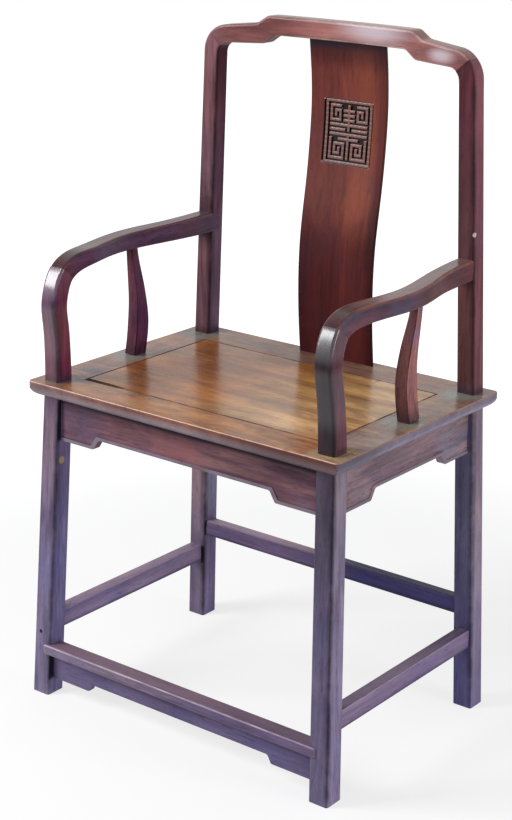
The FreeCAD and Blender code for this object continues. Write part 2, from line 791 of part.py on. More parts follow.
# Aprons under the seat. Each post takes the whole section of their ends.
apron_middle_z = frame_underside - apron_depth / 2
apron_foot_z = frame_underside - apron_depth
apron_half = inner_x(apron_middle_z)
face = front_y(apron_middle_z) + apron_setback
tabs = (front_left_tab, front_right_tab)
keep("front_apron", shaped_apron("front", (-apron_half, apron_half), tabs, face, 1))
end = apron_half + apron_housing
front_cuts.append(box(vec(0, face - fit, apron_foot_z - fit),
                      vec(end + fit, face + apron_thickness + fit, frame_underside)))

side_front = front_y(apron_middle_z) + post_depth(apron_middle_z)
side_back = back_y(apron_middle_z) - post_depth(apron_middle_z)
face = outer_x(apron_middle_z) - apron_setback
tabs = (side_front_tab, side_back_tab)
keep_pair("side_apron", shaped_apron("side", (side_front, side_back), tabs, face, -1))
side_housing = box(vec(face - apron_thickness - fit, side_front - apron_housing - fit, apron_foot_z - fit),
                   vec(face + fit, side_back + apron_housing + fit, frame_underside))
front_cuts.append(side_housing)
rear_cuts.append(side_housing)

back_middle_z = frame_underside - back_apron_depth / 2
face = back_y(back_middle_z) - apron_setback
end = inner_x(back_middle_z) + apron_housing
back_apron = box(vec(-end, face - apron_thickness, frame_underside - back_apron_depth),
                 vec(end, face, frame_underside))
keep("back_apron", back_apron)
rear_cuts.append(grown(back_apron, fit))

# Footrest and the apron under it
foot_low = footrest_top - footrest_thickness
foot_middle_z = footrest_top - footrest_thickness / 2
foot_middle_y = (front_y(foot_middle_z) + footrest_face + footrest_depth) / 2
end = inner_x(foot_middle_z)
foot_tenon_bar = box(vec(-end - footrest_tenon_length, foot_middle_y - footrest_tenon_width / 2,
                         foot_middle_z - footrest_tenon_thickness / 2),
                     vec(end + footrest_tenon_length, foot_middle_y + footrest_tenon_width / 2,
                         foot_middle_z + footrest_tenon_thickness / 2))
low = vec(-end - footrest_lap, footrest_face, foot_low)
high = vec(end + footrest_lap, footrest_face + footrest_depth, footrest_top)
bar = box(low, high)
front_corners = [edge for edge in long_edges(bar, "z", footrest_thickness / 2)
                 if edge.BoundBox.YMax < foot_middle_y]
bar = bar.makeFillet(footrest_corner_radius, front_corners)
keep("footrest", joined_bar(bar, low, high, "x", footrest_nose_radius, foot_tenon_bar))
front_cuts.append(grown(foot_tenon_bar, fit))

face = footrest_face + foot_apron_setback
foot_apron_low = foot_low - foot_apron_depth
end = inner_x(foot_low - foot_apron_depth / 2)
tip = end - foot_apron_tab
end += foot_apron_housing
outline = apron_outline("front", (-end, end), (-tip, tip), foot_apron_step_run, foot_apron_low,
                        foot_apron_low + foot_apron_rise, foot_low)
keep("footrest_apron", prism("front", outline, face, face + foot_apron_thickness))
front_cuts.append(box(vec(0, face - fit, foot_apron_low - fit),
                      vec(end + fit, face + foot_apron_thickness + fit, foot_low + fit)))

# Side and back stretchers
stretcher_z = side_stretcher_foot + side_stretcher_height / 2
half_tenon_z = side_stretcher_height / 2 - stretcher_shoulder
side_front = front_y(stretcher_z) + post_depth(stretcher_z)
side_back = back_y(stretcher_z) - post_depth(stretcher_z)
outer = outer_x(stretcher_z) - side_stretcher_setback
middle_x = outer - side_stretcher_width / 2
half_tenon_x = stretcher_tenon_width / 2
tenon = box(vec(middle_x - half_tenon_x, side_front - stretcher_tenon_length, stretcher_z - half_tenon_z),
            vec(middle_x + half_tenon_x, side_back + stretcher_tenon_length, stretcher_z + half_tenon_z))
low = vec(outer - side_stretcher_width, side_front - stretcher_shoulder, side_stretcher_foot)
high = vec(outer, side_back + stretcher_shoulder, side_stretcher_foot + side_stretcher_height)
keep_pair("side_stretcher", joined_bar(box(low, high), low, high, "y", stretcher_edge_radius, tenon))
front_cuts.append(grown(tenon, fit))
rear_cuts.append(grown(tenon, fit))

stretcher_z = back_stretcher_foot + back_stretcher_height / 2
half_tenon_z = back_stretcher_height / 2 - stretcher_shoulder
front = back_y(stretcher_z) - post_depth(stretcher_z) + back_stretcher_setback
middle_y = front + back_stretcher_width / 2
half_tenon_y = stretcher_tenon_width / 2
end = inner_x(stretcher_z)
tenon = box(vec(-end - stretcher_tenon_length, middle_y - half_tenon_y, stretcher_z - half_tenon_z),
            vec(end + stretcher_tenon_length, middle_y + half_tenon_y, stretcher_z + half_tenon_z))
low = vec(-end - stretcher_shoulder, front, back_stretcher_foot)
high = vec(end + stretcher_shoulder, front + back_stretcher_width,
           back_stretcher_foot + back_stretcher_height)
keep("back_stretcher", joined_bar(box(low, high), low, high, "x", stretcher_edge_radius, tenon))
rear_cuts.append(grown(tenon, fit))

# Posts, each in one piece from the foot up through the seat frame
keep_pair("front_post", front_leg.fuse([upper_post(0), joint_tenon(0)]).cut(front_cuts))
keep_pair("rear_post", rear_leg.fuse([raw_stile, crest_tenon]).cut(rear_cuts))

os.makedirs("parts", exist_ok=True)
for name, shape in parts.items():
    shape.exportStep(f"parts/{name}.step")
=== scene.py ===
from math import radians

import bmesh
import bpy
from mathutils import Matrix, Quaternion, Vector
from mathutils.bvhtree import BVHTree


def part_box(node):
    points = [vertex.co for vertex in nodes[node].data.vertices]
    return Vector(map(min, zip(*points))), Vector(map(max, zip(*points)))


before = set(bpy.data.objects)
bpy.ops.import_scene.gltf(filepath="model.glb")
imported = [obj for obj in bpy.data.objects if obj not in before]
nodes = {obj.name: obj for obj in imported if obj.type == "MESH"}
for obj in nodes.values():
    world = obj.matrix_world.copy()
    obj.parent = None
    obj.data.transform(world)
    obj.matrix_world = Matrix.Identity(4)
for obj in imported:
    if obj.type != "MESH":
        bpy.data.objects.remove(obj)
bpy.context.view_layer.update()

# Lengths are metres, in the frame of the chair: X to the right as seen from the front, Y towards
# the back, Z up.
seat_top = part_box("seat_panel")[1].z
rail_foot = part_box("seat_front_rail")[0].z
crest_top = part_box("crest_rail")[1].z
opening_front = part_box("seat_front_rail")[1].y
opening_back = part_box("seat_back_rail")[0].y
opening_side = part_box("right_seat_rail")[0].x
rail_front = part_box("seat_front_rail")[0].y
rail_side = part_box("right_seat_rail")[1].x

# Which way the grain runs in a member: the turn that lays it along the texture's X axis
grain_turns = {
    "upright": (0.0, radians(90.0), 0.0),
    "sideways": (0.0, 0.0, 0.0),
    "lengthways": (0.0, 0.0, radians(90.0)),
}
across_x = (1.0, 0.0, 0.0)
across_y = (0.0, 1.0, 0.0)
across_z = (0.0, 0.0, 1.0)

# Places are given as where a change starts and where it is full. Where there are three values, they
# are the two ends of a stretch and how soft its ends are.
to_right = (-0.05, 0.05)
to_left = (0.05, -0.05)
to_back = (0.0, 0.05)
right_half = (-0.18, 0.22)
seat_change = (rail_foot - 0.02, rail_foot + 0.05)  # from the purple-grey legs, partly a painted cool reflection, to the redder wood above


# A colour written as it looks on a screen
def shade(code):
    channels = [int(code[place:place + 2], 16) / 255.0 for place in (0, 2, 4)]
    linear = [c / 12.92 if c <= 0.04045 else ((c + 0.055) / 1.055) ** 2.4 for c in channels]
    return (*linear, 1.0)


# A tone is multiplied into a face's colour. The code bcbcbc leaves it as it is.
def tone(code):
    red, green, blue, whole = shade(code)
    return (2.0 * red, 2.0 * green, 2.0 * blue, whole)


# Node building
def add(tree, kind, inputs=None, **settings):
    made = tree.nodes.new("ShaderNode" + kind)
    for key, value in settings.items():
        setattr(made, key, value)
    for key, value in (inputs or {}).items():
        if isinstance(value, bpy.types.NodeSocket):
            tree.links.new(value, made.inputs[key])
        else:
            made.inputs[key].default_value = value
    return made


def blend(tree, share, first, second, how="MIX"):
    made = tree.nodes.new("ShaderNodeMix")
    made.data_type = "RGBA"
    made.blend_type = how
    for place, value in ((0, share), (6, first), (7, second)):
        if isinstance(value, bpy.types.NodeSocket):
            tree.links.new(value, made.inputs[place])
        else:
            made.inputs[place].default_value = value
    return made.outputs[2]


# Paint laid over a colour, as thick as the product of the shares
def paint(tree, under, code, *shares):
    return blend(tree, times(tree, *shares), under, shade(code))


# A tone multiplied into a colour, as far as the product of the shares
def tint(tree, under, code, *shares):
    return blend(tree, times(tree, *shares), under, tone(code), "MULTIPLY")


def calc(tree, operation, first, second=0.0):
    return add(tree, "Math", {0: first, 1: second}, operation=operation).outputs[0]


def plus(tree, first, second):
    return calc(tree, "ADD", first, second)


def minus(tree, first, second):
    return calc(tree, "SUBTRACT", first, second)


def absolute(tree, value):
    return calc(tree, "ABSOLUTE", value)


def times(tree, *values):
    total = values[0]
    for value in values[1:]:
        total = calc(tree, "MULTIPLY", total, value)
    return total


def most(tree, *values):
    total = values[0]
    for value in values[1:]:
        total = calc(tree, "MAXIMUM", total, value)
    return total


def spread(tree, value, low, high, to_low=0.0, to_high=1.0):
    made = add(tree, "MapRange", {"Value": value, "From Min": low, "From Max": high,
                                  "To Min": to_low, "To Max": to_high}, interpolation_type="SMOOTHSTEP")
    return made.outputs["Result"]


def between(tree, value, low, high, soft):
    rising = spread(tree, value, low - soft, low + soft)
    falling = spread(tree, value, high - soft, high + soft, 1.0, 0.0)
    return times(tree, rising, falling)


def coordinates(tree, vector):
    made = add(tree, "SeparateXYZ", {0: vector}).outputs
    return made["X"], made["Y"], made["Z"]


# A place moved so that what follows is drawn out along some of the axes
def stretched(tree, position, amounts):
    return add(tree, "VectorMath", {0: position, 1: amounts}, operation="MULTIPLY").outputs[0]


def distance_to(tree, position, place):
    return add(tree, "VectorMath", {0: position, 1: place}, operation="DISTANCE").outputs["Value"]


def noise(tree, position, size, detail=4.0, roughness=0.55, distortion=0.0):
    made = add(tree, "TexNoise", {"Vector": position, "Scale": size, "Detail": detail,
                                  "Roughness": roughness, "Distortion": distortion})
    return made.outputs["Fac"]


def new_group(name, inputs, outputs):
    tree = bpy.data.node_groups.new(name, "ShaderNodeTree")
    for label, kind, value in inputs:
        socket = tree.interface.new_socket(label, in_out="INPUT", socket_type="NodeSocket" + kind)
        if value is not None:
            socket.default_value = value
    for label, kind in outputs:
        tree.interface.new_socket(label, in_out="OUTPUT", socket_type="NodeSocket" + kind)
    return tree, tree.nodes.new("NodeGroupInput").outputs, tree.nodes.new("NodeGroupOutput").inputs


def use(tree, group, **inputs):
    made = tree.nodes.new("ShaderNodeGroup")
    made.node_tree = group
    for key, value in inputs.items():
        label = key.replace("_", " ")
        if isinstance(value, bpy.types.NodeSocket):
            tree.links.new(value, made.inputs[label])
        else:
            made.inputs[label].default_value = value
    return made.outputs


# Long wood fibres along X, wider figure, and the small dark pores between the fibres
fibre_size = 150.0
figure_size = 33.0
pore_size = 750.0
wander = 0.006              # how far the fibres bend out of their line


def make_grain():
    tree, given, result = new_group("grain", [("Position", "Vector", None)],
                                    [("Fibres", "Float"), ("Figure", "Float"), ("Pores", "Float")])
    drift = add(tree, "TexNoise", {"Vector": given["Position"], "Scale": 7.0, "Detail": 2.0})
    centred = add(tree, "VectorMath", {0: drift.outputs["Color"], 1: (0.5, 0.5, 0.5)}, operation="SUBTRACT")
    moved = add(tree, "VectorMath", {0: centred.outputs[0], "Scale": wander}, operation="SCALE")
    bent = add(tree, "VectorMath", {0: given["Position"], 1: moved.outputs[0]}, operation="ADD")
    drawn = stretched(tree, bent.outputs[0], (0.05, 1.0, 1.0))
    fibres = noise(tree, drawn, fibre_size, detail=6.0, roughness=0.62)
    figure = noise(tree, drawn, figure_size, detail=3.0, roughness=0.5, distortion=0.6)
    short = stretched(tree, bent.outputs[0], (0.07, 1.0, 1.0))
    pores = noise(tree, short, pore_size, detail=1.0)
    tree.links.new(spread(tree, fibres, 0.34, 0.66), result["Fibres"])
    tree.links.new(spread(tree, figure, 0.32, 0.68), result["Figure"])
    tree.links.new(spread(tree, pores, 0.60, 0.72), result["Pores"])
    return tree


# Cloudy patches, for polish that is thin in places
def make_patches():
    tree, given, result = new_group(
        "patches", [("Position", "Vector", None), ("Size", "Float", 9.0)], [("Mask", "Float")])
    cloud = noise(tree, given["Position"], given["Size"], detail=4.0, roughness=0.6, distortion=0.4)
    tree.links.new(spread(tree, cloud, 0.45, 0.65), result["Mask"])
    return tree


# Rounded long edges: there the surface turns halfway between the Across direction and the other
# faces. What is laid there is partly wear and partly painted light: a highlight on pale edges and
# shade on dark ones. It comes and goes along the edge.
def make_edge_wear_and_light():
    tree, given, result = new_group(
        "edge_wear_and_light", [("Position", "Vector", None), ("Normal", "Vector", None),
                       ("Across", "Vector", across_x)], [("Mask", "Float")])
    lean = add(tree, "VectorMath", {0: given["Normal"], 1: given["Across"]}, operation="DOT_PRODUCT")
    square = times(tree, lean.outputs["Value"], lean.outputs["Value"])
    rest = minus(tree, 1.0, square)
    turned = times(tree, square, rest)
    round_part = spread(tree, turned, 0.04, 0.22)
    broken = noise(tree, given["Position"], 26.0, detail=5.0, roughness=0.7)
    share = spread(tree, broken, 0.36, 0.62, 0.35, 1.0)
    tree.links.new(times(tree, round_part, share), result["Mask"])
    return tree


# Which way a face looks, for the tones of painted light and shade on the faces that look each
# way. Inner faces look to the chair's middle.
looks_along = (0.4, 0.85)
looks_against = (-0.4, -0.85)


def make_facing():
    tree, given, result = new_group(
        "facing", [("Position", "Vector", None), ("Normal", "Vector", None)],
        [("Front", "Float"), ("Inner", "Float"), ("Outer", "Float"), ("Top", "Float"),
         ("Right Half", "Float")])
    x = coordinates(tree, given["Position"])[0]
    across, back, up = coordinates(tree, given["Normal"])
    outward = times(tree, across, calc(tree, "SIGN", x))
    tree.links.new(spread(tree, back, *looks_against), result["Front"])
    tree.links.new(spread(tree, outward, *looks_against), result["Inner"])
    tree.links.new(spread(tree, outward, *looks_along), result["Outer"])
    tree.links.new(spread(tree, up, 0.80, 0.98), result["Top"])
    tree.links.new(spread(tree, x, *right_half), result["Right Half"])
    return tree


# A small mark of a given size at one place
def make_mark():
    tree, given, result = new_group(
        "mark", [("Position", "Vector", None), ("Place", "Vector", None), ("Size", "Float", 0.004)],
        [("Mask", "Float")])
    away = distance_to(tree, given["Position"], given["Place"])
    rough = noise(tree, given["Position"], 260.0, detail=2.0)
    uneven = plus(tree, 0.7, times(tree, rough, 0.6))
    reach = times(tree, given["Size"], uneven)
    share = calc(tree, "DIVIDE", away, reach)
    tree.links.new(spread(tree, share, 0.7, 1.0, 1.0, 0.0), result["Mask"])
    return tree


grain = make_grain()
patches = make_patches()
edge_wear_and_light = make_edge_wear_and_light()
facing = make_facing()
mark = make_mark()


# What a look has unless it says otherwise
usual_look = {
    "patch_size": 8.0, "patch": 0.5, "mottle_size": 30.0, "mottle": 0.3, "pores": 0.5, "dust_and_sheen": 0.5,
    "least_dust_and_sheen": 0.3, "edge_wear_and_light_share": 0.6, "low_edge_wear_and_light": 1.0, "dull": 0.08, "relief": 0.2, "gloss": 0.15}
figure_share = 0.7
zone_blur = 0.03            # how far a zone's edge moves up and down
seam_share = 0.95
pore_depth = 0.0004
coat_roughness = 0.16
coat_bend = 1.7             # index of refraction of the polish


# One finish of the wood. The look's zones lie one above the other: each has the height where it
# starts, the height where it is full, its colours from dark fibres to patches, and the tones that
# are multiplied into the faces that look one way, which are painted light and shade. Tops get dust
# and a painted sheen; rounded edges get wear, with painted highlights on pale edges and painted
# shade on dark ones. Details are a function that paints what only these pieces have. It gets the
# colour so far, the place, the surface's direction, which way its face looks, and the clouds.
def wood(name, direction, look, details=None):
    look = {**usual_look, **look}
    material = bpy.data.materials.new(name)
    material.use_nodes = True
    tree = material.node_tree
    shader = tree.nodes["Principled BSDF"]
    place = add(tree, "TexCoord")
    position = place.outputs["Object"]
    normal = place.outputs["Normal"]
    height = coordinates(tree, position)[2]
    turned = add(tree, "Mapping", {"Vector": position, "Rotation": grain_turns[direction]}).outputs[0]
    figure = use(tree, grain, Position=turned)
    face = use(tree, facing, Position=position, Normal=normal)
    cloud = use(tree, patches, Position=position, Size=look["patch_size"])["Mask"]
    # Front faces at the right take their own tone, a painted shade
    right_front = times(tree, face["Front"], face["Right Half"])
    broken_height = plus(tree, height, times(tree, cloud, zone_blur))
    body = None
    for start, full, colours, tones in look["zones"]:
        dark, middle, light, patch = [shade(colour) for colour in colours.split()]
        layer = blend(tree, figure["Fibres"], dark, middle)
        layer = blend(tree, times(tree, figure["Figure"], figure_share), layer, light)
        layer = blend(tree, times(tree, cloud, look["patch"]), layer, patch)
        for side, code in tones.items():
            share = right_front if side == "Right Front" else face[side]
            layer = tint(tree, layer, code, share)
        body = blend(tree, spread(tree, broken_height, start, full), body, layer) if body else layer
    drawn = stretched(tree, turned, (0.30, 1.0, 1.0))
    mottle = noise(tree, drawn, look["mottle_size"], detail=5.0, roughness=0.65, distortion=0.5)
    uneven = blend(tree, spread(tree, mottle, 0.34, 0.66), tone("97959b"), tone("dbdbd6"))
    body = blend(tree, look["mottle"], body, uneven, "MULTIPLY")
    body = paint(tree, body, look["pore"], figure["Pores"], look["pores"])
    # Tops: dust, with a painted sheen
    thin = spread(tree, cloud, 0.0, 1.0, look["least_dust_and_sheen"], 1.0)
    body = paint(tree, body, look["top"], face["Top"], thin, look["dust_and_sheen"])
    # Rounded edges: wear, with a painted highlight on pale edges and painted shade on dark ones
    edge = use(tree, edge_wear_and_light, Position=position, Normal=normal, Across=look["across"])["Mask"]
    edge_wear_and_light_share = times(tree, edge, look["edge_wear_and_light_share"], spread(tree, height, *seat_change, look["low_edge_wear_and_light"], 1.0))
    body = paint(tree, body, look["edge"], edge_wear_and_light_share)
    if details:
        body = details(tree, body, position, normal, face, cloud)
    rough = spread(tree, figure["Fibres"], 0.0, 1.0, *look["rough"])
    rough = plus(tree, rough, times(tree, cloud, look["dull"]))
    if "seam" in look:
        seam = times(tree, seam_line(tree, position, look["seam"]), face["Top"])
        body = paint(tree, body, "080202", seam, seam_share)
        rough = most(tree, rough, seam)
    tree.links.new(body, shader.inputs["Base Color"])
    tree.links.new(rough, shader.inputs["Roughness"])
    relief = minus(tree, figure["Fibres"], figure["Pores"])
    bump = add(tree, "Bump", {"Strength": look["relief"], "Distance": pore_depth, "Height": relief})
    tree.links.new(bump.outputs["Normal"], shader.inputs["Normal"])
    shader.inputs["Specular IOR Level"].default_value = look["gloss"]
    if "dull_bands" in look:
        coat = spread(tree, height, *seat_change)
        for low, high, soft, loss in look["dull_bands"]:
            lost = times(tree, between(tree, height, low, high, soft), loss)
            coat = times(tree, coat, minus(tree, 1.0, lost))
        tree.links.new(coat, shader.inputs["Coat Weight"])
        shader.inputs["Coat Roughness"].default_value = coat_roughness
        shader.inputs["Coat IOR"].default_value = coat_bend
    return material


# A place on a piece, found along X or Y from the chair's middle or from outside
def on_face(name, start, way):
    mesh = nodes[name].data
    surface = BVHTree.FromPolygons([vertex.co for vertex in mesh.vertices],
                                   [face.vertices for face in mesh.polygons])
    return surface.ray_cast(Vector(start), Vector(way))[0]


# Carved fret: painted shade in its grooves, a painted grey sheen on its bars, and painted
# highlights on the bars' upper edges and on the walls that face up
fret_left = -0.0445
fret_right = 0.0461
fret_low = 0.8197
fret_high = 0.9190
fret_soft = 0.0003
groove_depth = 0.003
fret_first_row = 0.8175
fret_row = 0.104 / 29
fret_first_column = -0.0443
fret_column = 0.0926 / 23
beside_fret = 0.060

# The splat is purple at the left, dark at the right edge and at the foot, and has painted
# shade under the crest
splat_purple_side = (0.02, -0.07)
splat_right_edge = (0.048, 0.066)
splat_edge_fade = (0.99, 0.80)
splat_foot = (0.77, 0.69)
splat_head = (0.955, 0.990)
splat_crest_shadow = (0.988, 1.002)
splat_crest_shadow_side = (0.06, -0.05)


# The splat's face beside the fret, as a curve through three of its heights
def face_curve(heights):
    depths = [on_face("back_splat", (beside_fret, -1.0, height), across_y).y for height in heights]
    first = (depths[1] - depths[0]) / (heights[1] - heights[0])
    second = (depths[2] - depths[1]) / (heights[2] - heights[1])
    bend = (second - first) / (heights[2] - heights[0])
    return depths[0], first, bend


def splat_details(tree, body, position, normal, face, cloud):
    x, y, z = coordinates(tree, position)
    up = coordinates(tree, normal)[2]
    upright = stretched(tree, position, (1.0, 1.0, 0.02))
    streaks = noise(tree, upright, 150.0, detail=3.0, roughness=0.6)
    right = spread(tree, x, *to_right)
    lit_streaks = spread(tree, streaks, 0.46, 0.70)
    body = paint(tree, body, "83442a", lit_streaks, right, 0.6)
    body = tint(tree, body, "7c708c", spread(tree, x, *splat_purple_side), 0.7)
    edge_share = times(tree, spread(tree, x, *splat_right_edge), spread(tree, z, *splat_edge_fade, 0.5, 1.0))
    body = tint(tree, body, "6c5070", edge_share, 0.8)
    body = tint(tree, body, "7c5969", spread(tree, z, *splat_foot), 0.8)
    # Painted shade under the crest
    body = tint(tree, body, "807880", spread(tree, z, *splat_head), 0.75)
    shadow_weight = times(tree, spread(tree, z, *splat_crest_shadow), spread(tree, x, *splat_crest_shadow_side, 0.6, 0.9))
    body = paint(tree, body, "332a36", shadow_weight)
    heights = (fret_low, (fret_low + fret_high) / 2, fret_high)
    start, slope, bend = face_curve(heights)
    first = minus(tree, z, heights[0])
    second = minus(tree, z, heights[1])
    curve = plus(tree, times(tree, first, slope), times(tree, first, second, bend))
    depth = minus(tree, minus(tree, y, start), curve)
    inside = times(tree, between(tree, x, fret_left, fret_right, fret_soft),
                   between(tree, z, fret_low, fret_high, fret_soft))
    front = times(tree, inside, spread(tree, depth, 1.2 * groove_depth, 1.4 * groove_depth, 1.0, 0.0))
    groove_shade = times(tree, front, spread(tree, depth, 0.25 * groove_depth, 0.7 * groove_depth))
    uneven = noise(tree, position, 150.0, detail=3.0)
    # The bars get a painted grey sheen, the grooves painted shade
    ridge_sheen = blend(tree, spread(tree, uneven, 0.38, 0.62), shade("7c6c6c"), shade("8e625a"))
    body = blend(tree, times(tree, front, 0.75), body, ridge_sheen)
    body = paint(tree, body, "14080a", groove_shade, 0.94)
    # A painted highlight along the upper edge of the bars in every other row
    rows = calc(tree, "DIVIDE", minus(tree, z, fret_first_row), 2.0 * fret_row)
    columns = calc(tree, "DIVIDE", minus(tree, x, fret_first_column), 2.0 * fret_column)
    rise = calc(tree, "FRACT", rows)
    along = calc(tree, "FRACT", columns)
    upper = times(tree, between(tree, rise, 0.82, 0.99, 0.04), spread(tree, along, 0.58, 0.42, 0.4, 1.0))
    bare = spread(tree, depth, 0.25 * groove_depth, 0.10 * groove_depth)
    patchiness = times(tree, front, upper, bare, spread(tree, uneven, 0.40, 0.56, 0.4, 1.0))
    body = paint(tree, body, "dcbcb0", patchiness, 0.8)
    # A painted highlight on the walls that face up
    lit_ledge = spread(tree, up, 0.4, 0.8)
    return paint(tree, body, "fff4f0", front, lit_ledge)


# Dirt in the joint between the panel and its frame: a dark line, widest at the left of the front
seam_soft = 0.0005
seam_wider = (-0.05, -0.12)
seam_gaping = (-0.125, -0.180)
seam_whole = (-0.13, -0.16)


def seam_line(tree, position, width):
    x, y = coordinates(tree, position)[:2]
    beside = absolute(tree, minus(tree, absolute(tree, x), opening_side))
    before = absolute(tree, minus(tree, y, opening_front))
    behind = absolute(tree, minus(tree, y, opening_back))
    within_x = spread(tree, absolute(tree, x), opening_side, opening_side + 0.001, 1.0, 0.0)
    within_y = between(tree, y, opening_front, opening_back, seam_soft)
    wide = plus(tree, spread(tree, x, *seam_wider, width, 1.2 * width),
                spread(tree, x, *seam_gaping, 0.0, 1.9 * width))
    runs = ((before, wide, within_x), (behind, width, within_x), (beside, width, within_y))
    lines = [times(tree, spread(tree, calc(tree, "DIVIDE", away, reach), 1.0, 0.6), within)
             for away, reach, within in runs]
    broken = noise(tree, position, 40.0, detail=3.0)
    open_end = spread(tree, x, *seam_whole)
    whole = most(tree, spread(tree, broken, 0.35, 0.6, 0.35, 1.0), open_end)
    return times(tree, most(tree, *lines), whole)


# The panel is redder and smudged at the left, paler and bluer at the front and the right
panel_smudged = (0.02, -0.14)
panel_redder = (0.06, -0.06)
panel_bluer_front = (0.06, -0.12)
panel_bluer_right = (-0.25, 0.15)
panel_pale_right = (0.03, 0.14)
panel_pale_back = (-0.14, 0.02)


def panel_details(tree, body, position, normal, face, cloud):
    x, y = coordinates(tree, position)[:2]
    drawn = stretched(tree, position, (0.12, 1.0, 1.0))
    waves = noise(tree, drawn, 26.0, detail=5.0, roughness=0.6, distortion=1.2)
    body = paint(tree, body, "86552f", spread(tree, waves, 0.50, 0.64), 0.45)
    stains = noise(tree, position, 13.0, detail=5.0, roughness=0.7, distortion=0.8)
    body = paint(tree, body, "5c3828", spread(tree, stains, 0.60, 0.72), 0.5)
    smudges = noise(tree, drawn, 60.0, detail=5.0, roughness=0.7, distortion=0.8)
    left_part = spread(tree, x, *panel_smudged, 0.25, 1.0)
    body = paint(tree, body, "5e4040", spread(tree, smudges, 0.54, 0.70), left_part, 0.45)
    bright = spread(tree, smudges, 0.44, 0.30)
    body = tint(tree, body, "dacfbc", bright, 0.35)
    bluer_part = times(tree, spread(tree, y, *panel_bluer_front), spread(tree, x, *panel_bluer_right))
    body = tint(tree, body, "d7dcf8", bluer_part, 0.8)
    body = tint(tree, body, "b79e86", spread(tree, x, *panel_redder))
    paler = times(tree, spread(tree, x, *panel_pale_right), spread(tree, y, *panel_pale_back, 0.5, 1.0))
    return tint(tree, body, "dae8ff", paler)


# Grey-green deposit in the corners where the struts and the stiles stand on the side rails
deposit_names = ("left_arm_strut", "right_arm_strut", "left_rear_post", "right_rear_post")
deposit_places = [((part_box(name)[0].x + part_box(name)[1].x) / 2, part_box(name)[0].y, seat_top)
                  for name in deposit_names]

# The seat frame: rubbed along its edges, scratched in front of the panel, and smeared behind the
# left front post. Its moulded edge is brown above and has a painted grey sheen low down, at the
# left and on the sides, painted shade on its right part, and a painted highlight on its upper arris
smear_place = (-0.232, -0.128, seat_top)
rubbed_front = (rail_front + 0.026, rail_front + 0.004)
rubbed_side = (rail_side - 0.016, rail_side - 0.004)
scratched_span = (-0.13, -0.03, 0.03)
scratched_depth = (opening_front - 0.022, opening_front - 0.010)
front_rail_part = (opening_front + 0.001, opening_front - 0.001)
front_rail_right = (-0.16, -0.02)
back_rail_part = (opening_back - 0.001, opening_back + 0.002)
left_rail_part = (0.0, -opening_side)
right_rail_part = (opening_side, opening_side + 0.01)
right_rail_front = (-0.02, -0.12)
corner_side = (rail_side - 0.045, rail_side - 0.015)
corner_front = (rail_front + 0.045, rail_front + 0.015)
edge_part = (seat_top - 0.0008, seat_top - 0.0020)
edge_shaded_right = (0.02, 0.20)
edge_left = (-0.10, -0.22)
edge_front_end = (-0.08, -0.15)
arris_band = (seat_top - 0.0014, seat_top - 0.0002, 0.0002)


